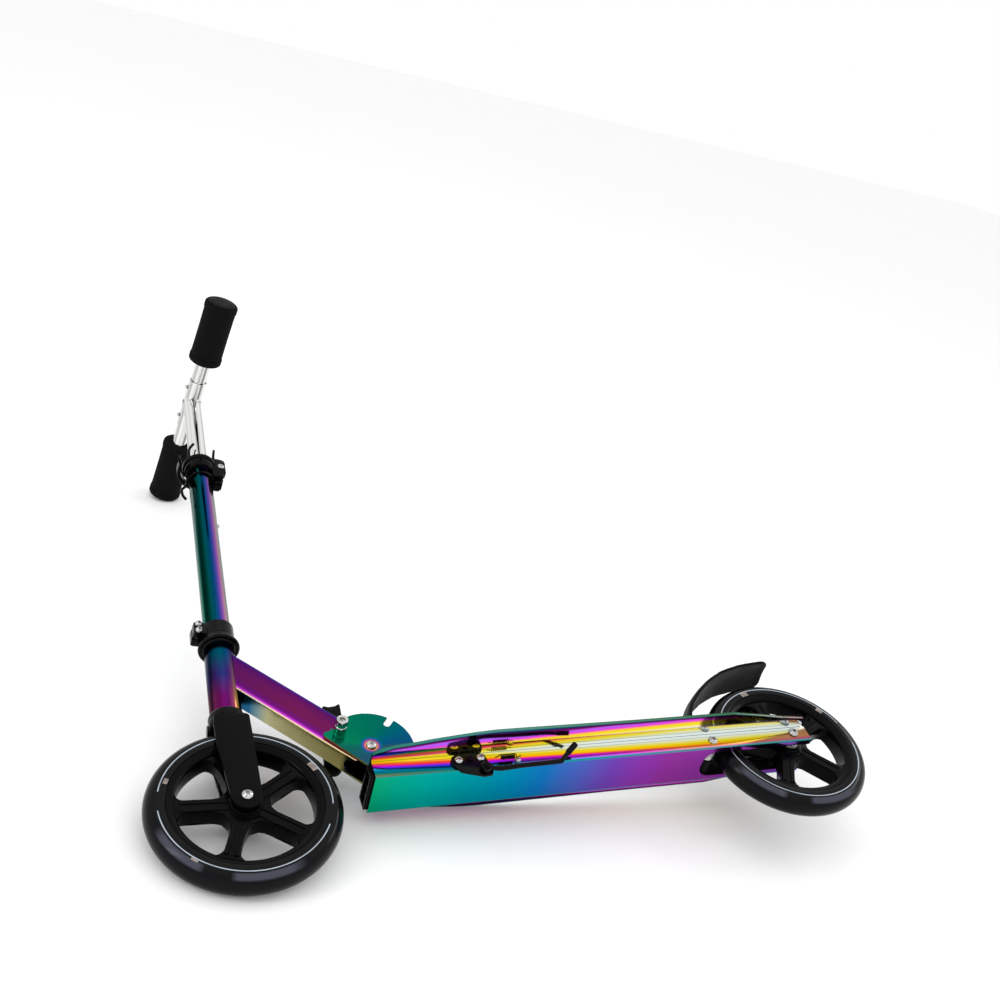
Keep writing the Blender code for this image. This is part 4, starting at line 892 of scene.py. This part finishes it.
bolt("stand_stop", SCOOTER @ shift(0.364, 0, 0.0945), "deck", "kickstand_stop", 0.0036, 0.0025, 0.028,
    0.0306, 0.023, 0.001)
for level, height in (("lower", 0.2531), ("upper", 0.2637)):
    bolt("collar_screw_" + level, COLUMN @ shift(0.0245, 0, height), "steering", "collar_bolt_" + level,
        0.0042, 0.0022, 0.0113, 0.015, -0.0108, 0.0018)
bolt("clamp_screw", COLUMN @ shift(*CLAMP_BOLT), "steering", "clamp_bolt", 0.0046, 0.0025, 0.0128, 0.015,
    -0.0122, 0.0015)


def nut(name, place, body, node, low, high):
    hexagon = arc((0, 0), 0.007, 0, 360, 6)[:-1]
    mesh = slab([hexagon, arc((0, 0), 0.0042, 0, 360, 32)[:-1]], high - low, 0.0004)
    mesh.transform(shift(0, 0, (low + high) / 2))
    piece(name, mesh, place @ ACROSS, body, [CHROME], slot="chrome", replaces=[node], smooth=25)


nut("rear_lock_nut", REAR, "deck", "rear_axle_nut", -0.0327, -0.028)
nut("front_lock_nut", FRONT, "steering", "front_axle_nut", -0.027, -0.0223)


# ---- folding bracket and lock -----------------------------------------------------------------
def bracket():
    floor = 0.1136 - FOLD_HEIGHT
    reach = 0.0478
    first = math.degrees(math.atan2(0.0235, 0.0475)) + 6.0
    outline = [(0.0075, floor + 0.0003), (0.0485, 0.019), (0.0475, 0.0235)]
    outline += arc((0, 0), reach, first, 184.0, 60) + [(-reach, floor + 0.0003)]
    meshes = []
    for sign in (1, -1):
        mesh = slab([outline], 0.0028, 0.0)
        for a in (42.0, 130.0):
            notch = arc((LOCK_REACH, 0), 0.004, 90, 270, 12) + [(0.06, -0.004), (0.06, 0.004)]
            mesh = carved(mesh, slab([notch], 0.02), rotation("Z", a))
        meshes.append((mesh, shift(0, sign * 0.0146, 0) @ UPRIGHT))
    meshes.append(box_mesh((-0.0472, -0.0154, floor), (0.007, 0.0154, floor + 0.0028)))
    whole = merged(meshes)
    paint(whole, lambda centre, normal: 0 if abs(normal.y) > 0.9 else 1)
    piece("folding_bracket", whole, FOLD, "deck", (BRACKET, EDGE_GOLD), slot="anodised_steel",
        replaces=["fold_bracket"], smooth=25)


bracket()


def barrel():
    bm = bmesh.new()
    profile = [(0.0, 0.0163), (0.0066, 0.0163), (0.0067, 0.0168), (0.0067, 0.0225), (0.0064, 0.0229),
        (0.006, 0.0232), (0.006, 0.024), (0.0064, 0.0243), (0.0067, 0.0247), (0.0067, 0.0312),
        (0.0062, 0.032), (0.0034, 0.0322), (0.0031, 0.0318), (0.0031, 0.0285), (0.0, 0.0285)]
    rings = lathe(bm, profile, 72)
    for ring in rings[7:10]:
        for vert in ring[::3]:
            vert.co.xy *= 0.965
    piece("lock_knob", to_mesh(bm), LOCK @ ACROSS, "neck", [CHROME], slot="chrome",
        replaces=["lock_barrel"], smooth=38)


barrel()


def lever():
    arm = [(0.0125, -0.005), (0.011, 0.01), (0.001, 0.038), (-0.003, 0.064), (-0.001, 0.076),
        (-0.008, 0.073), (-0.016, 0.074), (-0.0225, 0.078), (-0.021, 0.06), (-0.015, 0.033),
        (-0.011, 0.006), (-0.006, -0.01)]
    arm += arc((0.005, -0.014), 0.011, 200.0, 350.0, 10)
    outline = rounded(arm, 0.0022, 3)
    blade = slab([outline], 0.009, 0.0014)
    hub = rod_mesh(0.0095, -0.0333, -0.0163, 48, ACROSS)
    piece("folding_lever", merged([(blade, shift(0, -0.0268, 0) @ UPRIGHT), hub]), LOCK, "lock_lever",
        [MATTE], slot="black_plastic", replaces=["fold_lever"], smooth=35)


lever()


# ---- neck and head tube -----------------------------------------------------------------------
def neck():
    above, below, half = 0.0135, 0.0268, 0.0125
    knuckle = arc((0, 0), above, 90.0, 200.0, 24)
    side = [(0.211, above)] + knuckle + [(0.002, -below), (0.174, -below)]
    mesh = slab([side], 2 * half, 0.0016, 4)
    mesh.transform(UPRIGHT)
    sheet = 0.0022
    inside = half - sheet
    hollow = box_mesh((-0.03, -inside, -below + sheet), (0.145, inside, above - sheet))
    mesh = carved(mesh, hollow)
    mesh = carved(mesh, rod_mesh(0.0085, -0.04, -0.02, 48), shift(0.006, 0, 0))
    mesh = carved(mesh, rod_mesh(0.017, 0.12, 0.24, 96), NECK.inverted() @ STEER)
    paint(mesh, lambda centre, normal: 0 if abs(normal.y) > 0.75 else 1 if normal.z < -0.5 else 2)
    piece("down_tube", mesh, NECK, "neck", (NECK_SIDE, NECK_UNDER, NECK_TOP), slot="anodised_steel",
        replaces=["neck"], smooth=30)
    wall = [(0.0147, 0.1272), (0.0172, 0.127), (0.0174, 0.1274), (0.0174, 0.2326), (0.0172, 0.233),
        (0.0147, 0.2328)]
    turned("head_tube", wall, STEER, "neck", HEAD, True, 128, slot="anodised_steel")


neck()


def headset():
    bm = bmesh.new()
    cup = [(0.0131, 0.116), (0.018, 0.116), (0.0195, 0.1175), (0.0198, 0.1195), (0.0198, 0.1235),
        (0.0194, 0.124), (0.0194, 0.1247), (0.0198, 0.1252), (0.0192, 0.1267), (0.0131, 0.1267)]
    lathe(bm, cup, 120, None, True)
    for k in range(40):
        spot = shift(*polar(0.0196, 9 * k), 0.1215)
        bmesh.ops.create_uvsphere(bm, u_segments=8, v_segments=5, radius=0.0007, matrix=spot)
    piece("lower_headset", to_mesh(bm), STEER, "neck", [GLOSS], slot="black_plastic",
        replaces=["headset_lower_cup"], smooth=35)
    lip = arc((0.0212, 0.2372), 0.0026, -120.0, 80.0, 12)
    upper = [(0.0131, 0.2333), (0.0176, 0.2333), (0.0186, 0.234), (0.0192, 0.2349)] + lip
    upper += [(0.0207, 0.241), (0.0204, 0.243), (0.02, 0.2468), (0.019, 0.2477), (0.0131, 0.2477)]
    turned("upper_headset", upper, STEER, "neck", GLOSS, True, 120, slot="black_plastic",
        replaces=["headset_upper_cup"], smooth=35)


headset()


# ---- fork -------------------------------------------------------------------------------------
def fork():
    bottom = arc((-0.0085, 0.0), 0.0158, 184.0, 352.0, 20)
    shape = bottom + [(0.0122, 0.04), (0.0165, 0.068), (0.0177, 0.1), (0.0165, 0.111), (0.013, 0.114),
        (-0.017, 0.114), (-0.0208, 0.111), (-0.022, 0.078), (-0.0236, 0.015)]
    radii = [0] * len(bottom) + [0.02, 0.02, 0.02, 0.003, 0.003, 0.003, 0.003, 0.02, 0.01]
    outline = rounded(shape, radii, 4)
    meshes = []
    for sign in (1, -1):
        leg = slab([outline], 0.0045, 0.0009)
        meshes.append((leg, shift(0, sign * 0.01975, 0) @ UPRIGHT))
    crown = rounded([(-0.019, -0.0188), (0.015, -0.0188), (0.0205, -0.01), (0.0205, 0.01), (0.015, 0.0188),
        (-0.019, 0.0188), (-0.0212, 0.01), (-0.0212, -0.01)], 0.005, 4)
    stem = rod_mesh(0.0125, 0.112, 0.33, 64)
    boss = rod_mesh(0.0058, 0.0, 0.003, 32, shift(0.019, 0, 0.1085) @ rotation("Y", 90))
    meshes += [(slab([crown], 0.012, 0.002), shift(0, 0, 0.1092)), stem, boss]
    piece("front_fork", merged(meshes), STEER, "steering", [PAINT], slot="black_paint", replaces=["fork"],
        smooth=35)


fork()


# ---- column and clamps ------------------------------------------------------------------------
def column():
    """The tube, slit at its back and its front, and the button that holds the height."""
    wall = [(0.0132, 0.2482), (0.0153, 0.248), (0.0155, 0.2483), (0.0155, 0.6116), (0.0153, 0.612),
        (0.0132, 0.6118)]
    mesh = lathe_mesh(wall, 128)
    for angle, end in ((180.0, 0.555), (62.0, 0.5875)):
        outline = [(end, -0.001), (0.7, -0.001), (0.7, 0.001)] + arc((end, 0), 0.001, 90, 270, 8)
        slit = slab([outline], 0.03)
        mesh = carved(mesh, slit, rotation("Z", angle) @ shift(0.018, 0, 0) @ rotation("Y", -90))
    mesh = carved(mesh, rod_mesh(0.0036, 0.01, 0.03, 32), HEIGHT_BUTTON)
    piece("column_tube", mesh, COLUMN, "steering", [COLUMN_COAT_AND_REFLECTIONS], slot="anodised_deck", replaces=["column"],
        smooth=30)
    button = [(0.0, 0.0188), (0.0012, 0.0187), (0.0022, 0.0182), (0.0029, 0.0172), (0.0031, 0.0158),
        (0.0031, 0.0143), (0.0, 0.0143)]
    turned("height_knob", button, COLUMN @ HEIGHT_BUTTON, "height_button", CHROME, segments=40,
        slot="chrome", replaces=["height_button"], smooth=40)


def head_collar():
    ring = [(RING_BORE, 0.2484), (0.0184, 0.2483), (0.019, 0.2489), (0.019, 0.2679), (0.0184, 0.2685),
        (RING_BORE, 0.2684)]
    gap = box_mesh((0.0, -0.0015, 0.2), (0.04, 0.0015, 0.3))
    ear = rounded([(0.015, -0.011), (0.03, -0.011), (0.03, 0.011), (0.015, 0.011)], [0, 0.003, 0.003, 0], 4)
    ears = slab([ear], 0.0181, 0.0008)
    ears.transform(shift(0, 0, 0.2584))
    ears = carved(ears, rod_mesh(0.0165, 0.2, 0.3, 64))
    parts = [carved(lathe_mesh(ring), gap), carved(ears, gap)]
    piece("head_collar", merged(parts), COLUMN, "steering", [GLOSS], slot="black_aluminium",
        replaces=["column_collar"], smooth=35)


def top_clamp():
    """The clamp at the column's top, with a split ring, two ears for the bolt, and two hooks."""
    low, high = 0.5742, 0.6165
    foot, brow = 0.586, 0.607
    ring = [(RING_BORE, foot), (0.018, foot), (0.019, foot + 0.0008), (0.0194, foot + 0.002),
        (0.0196, foot + 0.006), (0.0204, foot + 0.007), (0.0205, brow - 0.008), (0.0222, brow - 0.0066),
        (0.0225, brow - 0.0055), (0.0225, brow - 0.0008), (0.0218, brow), (RING_BORE, brow)]
    gap = box_mesh((-0.05, -0.0015, 0.55), (0.0, 0.0015, 0.7))
    parts = [carved(lathe_mesh(ring), gap)]
    ear = rounded([(-0.03, low), (-0.014, low), (-0.014, high), (-0.0335, high), (-0.0335, foot),
        (-0.03, foot - 0.002)], [0.004, 0, 0.003, 0.008, 0.001, 0.001], 5)
    for sign in (1, -1):
        cheek = slab([ear], 0.011, 0.0016)
        cheek.transform(shift(0, sign * 0.007, 0) @ UPRIGHT)
        parts.append(carved(cheek, rod_mesh(0.0165, 0.5, 0.7, 64)))
    front_hook = ((0.016, 0.011, -0.002), (0.016, 0.014, 0.017), (0.01, 0.016, 0.03))
    back_hook = ((-0.017, 0.01, -0.002), (-0.018, 0.012, 0.016), (-0.02, 0.011, 0.03))
    for hook in (front_hook, back_hook):
        parts.append(wire_mesh(through([(x, y, brow + z) for x, y, z in hook], 6), HOOK, 4))
    piece("height_clamp", merged(parts), COLUMN, "steering", [PLASTIC], slot="black_plastic",
        replaces=["top_clamp"], smooth=35)


def clamp_lever():
    """A curved handle that follows the column, on its cam."""
    outer = arc((0, 0), 0.03, -146.0, 12.0, 32)
    inner = arc((0, 0), 0.025, 8.0, -146.0, 32)
    handle = slab([outer + [(0.0325, 0.014), (0.029, 0.0155)] + inner], 0.013, 0.0012)
    cam = rod_mesh(0.0053, -0.0065, 0.0065, 40, shift(*CAM_PLACE))
    piece("clamp_handle", merged([(handle, shift(0, 0, CLAMP_BOLT[2])), cam]), COLUMN, "clamp_lever",
        [PLASTIC], slot="black_plastic", replaces=["clamp_lever"], smooth=35)


def grip_clip():
    """The hook under the clamp that holds a handle that has been pulled off."""
    low, high = 0.562, 0.5737
    foot = high - 0.0036
    ring = [(RING_BORE, foot), (0.0164, foot), (0.0169, foot + 0.0006), (0.0169, high - 0.0006),
        (0.0164, high), (RING_BORE, high)]
    hook = [(0.0172, 0.0085), (0.019, 0.002), (0.0215, -0.008), (0.0265, -0.017), (0.0262, -0.029),
        (0.0225, -0.037)]
    hook = wire_mesh(through([(x, 0.0, low + z) for x, z in hook], 6), HOOK, 4)
    back = box_bm((-0.0285, -0.007, low + 0.001), (-0.015, 0.007, high - 0.0005))
    bmesh.ops.bevel(back, geom=back.edges, offset=0.0025, segments=4, affect="EDGES")
    back = carved(to_mesh(back), rod_mesh(0.0162, 0.5, 0.7, 64))
    piece("handle_clip", merged([lathe_mesh(ring), hook, back]), COLUMN, "steering", [PLASTIC],
        slot="black_plastic", replaces=["grip_clip"], smooth=35)


column()
head_collar()
top_clamp()
clamp_lever()
grip_clip()


# ---- handlebar --------------------------------------------------------------------------------
def button_place(sign):
    return shift(0, sign * HANDLE_BUTTON, 0) @ rotation("Y", 90)


def post():
    """The post that slides in the column, with the sleeve for the handles welded on its top."""
    radius, sleeve_radius = 0.0126, 0.0133
    tube = [(0.0108, -0.3459), (0.0124, -0.3459), (0.0126, -0.3456), (0.0126, -0.006), (0.0108, -0.006)]
    mesh = carved(lathe_mesh(tube, 112), box_mesh((-0.02, -0.0036, -0.4), (-0.005, 0.0036, -0.2059)))
    mesh = carved(mesh, rod_mesh(0.0119, -0.05, 0.05, 64, ACROSS))
    seam = []
    for k in range(49):
        x, y = sleeve_radius * math.cos(TAU * k / 48), sleeve_radius * math.sin(TAU * k / 48)
        seam.append((x, y, -math.sqrt(max(radius ** 2 - x ** 2, 0.0)) - 0.0002))
    piece("lower_post", merged([mesh, wire_mesh(seam, 0.0011, 3)]), BAR, "post", [BRIGHT],
        slot="bright_tube", replaces=["inner_post"], smooth=35)
    sleeve = [(0.0113, -0.0385), (0.0122, -0.0385), (0.0125, -0.0382), (0.0125, 0.0382), (0.0122, 0.0385),
        (0.0113, 0.0385)]
    mesh = lathe_mesh(sleeve, 112, ACROSS)
    for sign in (1, -1):
        mesh = carved(mesh, rod_mesh(0.0034, 0.005, 0.02, 32), button_place(sign))
    piece("handle_sleeve", mesh, BAR, "post", [BRIGHT_ACROSS], slot="bright_tube", replaces=["inner_post"],
        smooth=35)


def grip_profile():
    """A foam tube with a rolled lip at each end and a slight waist."""
    inner, outer, start, end = 0.0113, 0.0225, 0.0738, 0.168
    lip, corner, shoulder = outer + 0.001, 0.002, 0.0112
    edge = [(lip - corner + corner * math.sin(math.radians(a)), corner - corner * math.cos(math.radians(a)))
        for a in (20, 40, 60, 80, 90)]
    edge = [(inner, 0.0), (lip - corner, 0.0)] + edge
    edge += [(lip, 0.008), (lip - 0.0004, 0.0092), (outer - 0.0005, 0.01), (outer, shoulder)]
    span = end - start - 2 * shoulder
    waist = [(outer - 0.0002 * math.sin(math.pi * k / 16), start + shoulder + span * k / 16)
        for k in range(1, 16)]
    return [(r, start + z) for r, z in edge] + waist + [(r, end - z) for r, z in reversed(edge)]


def handle(side, sign):
    body = "handle_" + side
    turn = ACROSS if sign > 0 else UPRIGHT
    knob = [(0.0, 0.0162), (0.0011, 0.0161), (0.002, 0.0156), (0.0027, 0.0147), (0.0029, 0.0137),
        (0.0029, 0.0127), (0.0, 0.0127)]
    turned("button_" + side, knob, BAR @ button_place(sign), "button_" + side, CHROME, segments=40,
        slot="chrome", replaces=["handle_button_" + side], smooth=40)
    wall = [(0.0095, 0.008), (0.0108, 0.008), (0.011, 0.0083), (0.011, 0.164), (0.0095, 0.164)]
    reach = sign * 0.0279
    slot = box_mesh((0.005, min(0.0, reach), -0.0034), (0.02, max(0.0, reach), 0.0034))
    piece("handle_bar_" + side, carved(lathe_mesh(wall, 96, turn), slot), BAR, body, [BRIGHT_ACROSS],
        slot="bright_tube", replaces=["handle_tube_" + side], smooth=35)
    grip = turned("foam_grip_" + side, grip_profile(), BAR @ turn, body, FOAM, True, 112, slot="foam",
        replaces=["grip_" + side], smooth=50)
    cap = [(0.0, 0.1705), (0.006, 0.1706), (0.016, 0.1706), (0.0172, 0.1702), (0.0182, 0.1694),
        (0.0186, 0.1684), (0.0092, 0.1683), (0.0092, 0.153), (0.0, 0.153)]
    turned("grip_cap_" + side, cap, BAR @ turn, body, MATTE, slot="black_plastic",
        replaces=["end_cap_" + side], smooth=35)


post()
handle("left", 1)
handle("right", -1)


# ---- rear brake -------------------------------------------------------------------------------
def fender():
    """A curved blade, hollow towards the wheel, on a hub with room for its spring."""
    spine = [(0.0015, 0.006), (0.0058, 0.026), (0.003, 0.05), (-0.008, 0.0715), (-0.025, 0.089),
        (-0.045, 0.1045), (-0.071, 0.1185), (-0.101, 0.127), (-0.133, 0.1315), (-0.153, 0.1325)]
    widths = [0.0165, 0.017, 0.0176, 0.0182, 0.0192, 0.0207, 0.0226, 0.0239, 0.0236]
    per = 8
    corner, thickness, hollow = 0.013, 0.0022, 0.0035
    line = through([(x, 0, z) for x, z in spine], per)
    tip = line[-per - 1:]
    shares = (0.58, 0.66, 0.74, 0.82, 0.88, 0.92, 0.95, 0.97, 0.985, 0.995, 1)
    line = line[:-per - 1] + tip[:5] + [tip[0].lerp(tip[-1], share) for share in shares]
    side = [math.radians(30 * k) for k in range(1, 6)]
    bm = bmesh.new()
    rows = []
    for index, place in enumerate(line):
        before, after = line[max(index - 1, 0)], line[min(index + 1, len(line) - 1)]
        along = (after - before).normalized()
        inward = Vector((-along.z, 0, along.x))
        share = min(index / per, 8.0)
        low = min(int(share), 7)
        width = widths[low] + (widths[low + 1] - widths[low]) * (share - low)
        left = (line[-1] - place).length
        if left < corner:
            width -= (corner - 0.0005) * (1 - math.sqrt(max(0.0, 1 - (1 - left / corner) ** 2)))
        deep = thickness * min(1.0, 0.45 + 0.55 * math.sqrt(min(left / 0.002, 1.0)))
        sag = hollow * min(1.0, index / (3 * per))
        flat = width - deep
        edge = [(flat * (k / 6 - 1), deep) for k in range(13)]
        edge += [(flat + deep * math.sin(a), deep * math.cos(a)) for a in side]
        edge += [(-y, -t) for y, t in edge]
        edge = [place + Vector((0, y, 0)) + inward * (t + sag * (y / widths[low]) ** 2) for y, t in edge]
        rows.append([bm.verts.new(corner) for corner in edge])
    skin(bm, rows)
    parts = [carved(to_mesh(bm), box_mesh((-0.02, 0.0006, -0.02), (0.02, 0.0154, 0.0121)))]
    for low, high in ((-0.019, 0.0006), (0.0154, 0.019)):
        hub = [(0.0034, low), (0.0079, low), (0.0084, low + 0.0004), (0.0084, high - 0.0004),
            (0.0079, high), (0.0034, high)]
        parts.append(lathe_mesh(hub, 64, ACROSS))
    piece("fender", merged(parts), BRAKE, "brake", [MATTE], slot="black_plastic", replaces=["fender_brake"],
        smooth=45)


fender()


def helix(radius, low, high, turns, steps):
    return [(radius * math.cos(TAU * turns * k / steps), radius * math.sin(TAU * turns * k / steps),
        low + (high - low) * k / steps) for k in range(steps + 1)]


coil = helix(0.0075, 0.003, 0.013, 4.5, 108)
piece("brake_coil", wire_mesh(coil, 0.0009, 3), BRAKE @ ACROSS, "deck", [CHROME], slot="chrome",
    replaces=["brake_spring"], smooth=50)


# ---- kickstand --------------------------------------------------------------------------------
def kickstand():
    outline = [(-0.0088, -0.001), (-0.0062, -0.0078), (0.004, -0.0085), (0.027, -0.0005), (0.0325, 0.007),
        (0.0352, 0.015), (0.033, 0.021), (0.028, 0.0238), (0.001, 0.0238), (-0.005, 0.0215),
        (-0.0066, 0.011)]
    plate = slab([rounded(outline, 0.003, 4)], 0.003, 0.0007)
    plate.transform(shift(0.406, 0.0295, 0.083) @ UPRIGHT)
    boss = rod_mesh(0.0036, 0.0305, 0.0335, 32, shift(0.4195, 0, 0.0985) @ ACROSS)
    piece("stand_bracket", merged([plate, boss]), SCOOTER, "deck", [GLOSS], slot="black_paint",
        replaces=["kickstand_bracket"], smooth=35)
    pin = [(0.0, 0.0049), (0.002, 0.0049), (0.0036, 0.0044), (0.0045, 0.0034), (0.0045, 0.003),
        (0.0025, 0.003), (0.0025, -0.0054), (0.0, -0.0054)]
    turned("stand_pin", pin, STAND @ ACROSS, "deck", PAINT, segments=48, slot="black_paint",
        replaces=["kickstand_pin"])
    points = [(-0.0035, 0.0, -0.0008), (-0.016, 0.0, -0.0035), (-0.039, 0.0, -0.002), (-0.06, 0.0, -0.0015),
        (-0.086, 0.0, -0.0008), (-0.09, 0.0008, 0.0008), (-0.105, 0.006, 0.0125), (-0.109, 0.0075, 0.015)]
    leg = wire_mesh(through(points, 4), 0.0027, 5)
    eye = lathe_mesh(both_sides([(0.0028, -0.0027), (0.0058, -0.0027), (0.0062, -0.0023)]), 48, ACROSS)
    foot = wire_mesh([(-0.0985, 0.0037, 0.0074), (-0.1093, 0.0075, 0.0152)], 0.0035, 5)
    piece("stand_leg", merged([leg, eye, foot]), STAND, "stand_leg", [GLOSS], slot="black_paint",
        replaces=["kickstand_leg"], smooth=40)
    coil = [Vector((-z, y, x)) for x, y, z in helix(0.0026, 0.0, 0.018, 8.5, 136)]
    line = [Vector((0.006, 0, 0))] + coil + [Vector((-0.024, 0, 0))]
    piece("stand_spring", wire_mesh(line, 0.00062, 2), SCOOTER @ shift(0.386, 0.0343, 0.095), "deck",
        [PAINT], slot="black_paint", replaces=["kickstand_spring"], smooth=50)


kickstand()

# ---- carried-over CAD pieces ------------------------------------------------------------------
turning = [end + part + side for end in ("front", "rear") for part in ("_bearing", "_spacer")
    for side in ("_left", "_right")]
for node in turning + ["head_bearing_lower", "head_bearing_upper"]:
    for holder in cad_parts[node].material_slots:
        holder.material = STEEL

# ---- studio -----------------------------------------------------------------------------------
floor_mesh = box_mesh((-9, -9, -0.02), (9, 9, -0.0004))
floor = placed("floor", floor_mesh)
n = Nodes("floor")
floor_mesh.materials.append(n.set(base_color=n.mix(n.noise(3.0, 2.0), "fbfbfb", "f8f8f8"), roughness=0.9))


def softbox(name, place, aim, size, power):
    light = bpy.data.lights.new(name, "AREA")
    light.shape = "RECTANGLE"
    light.size, light.size_y = size
    light.energy = power
    lamp = placed(name, light)
    lamp.location = place
    lamp.rotation_euler = (Vector(aim) - Vector(place)).to_track_quat("-Z", "Y").to_euler()


softbox("overhead", (0.2, -0.2, 3.4), (0, 0, 0), (5.0, 5.0), 24)
softbox("strip_left", (-2.2, -0.6, 1.5), (-0.3, -0.3, 0.05), (0.4, 1.4), 9)
softbox("strip_right", (2.3, 0.2, 1.7), (0.2, -0.3, 0.05), (1.4, 0.4), 9)

scene = bpy.context.scene
world = bpy.data.worlds.new("studio")
scene.world = world
world.use_nodes = True
world.node_tree.nodes["Background"].inputs["Color"].default_value = (1.0, 1.0, 1.0, 1.0)
world.node_tree.nodes["Background"].inputs["Strength"].default_value = 1.0

scene.view_settings.view_transform = "Standard"
scene.view_settings.look = "None"

# ---- camera -----------------------------------------------------------------------------------
# The camera's right and down in the scooter's directions, and how far right, down and ahead of the
# camera the scooter's origin is, in metres.
RIGHT = Vector((-0.92316, 0.22768, -0.30975)).normalized()
DOWN = Vector((-0.00157, -0.80798, -0.58921))
ORIGIN = (0.37836, 0.36237, 1.43622)
down = (DOWN - RIGHT * DOWN.dot(RIGHT)).normalized()
ahead = RIGHT.cross(down)
pose = Matrix((RIGHT, -down, -ahead)).transposed().to_4x4()
pose.translation = -(RIGHT * ORIGIN[0] + down * ORIGIN[1] + ahead * ORIGIN[2])
camera = bpy.data.cameras.new("camera")
camera.sensor_width = 36.0
camera.lens = 44.617
camera.clip_start = 0.05
camera.clip_end = 60.0
viewer = placed("camera", camera)
viewer.matrix_world = SCOOTER @ pose
scene.camera = viewer
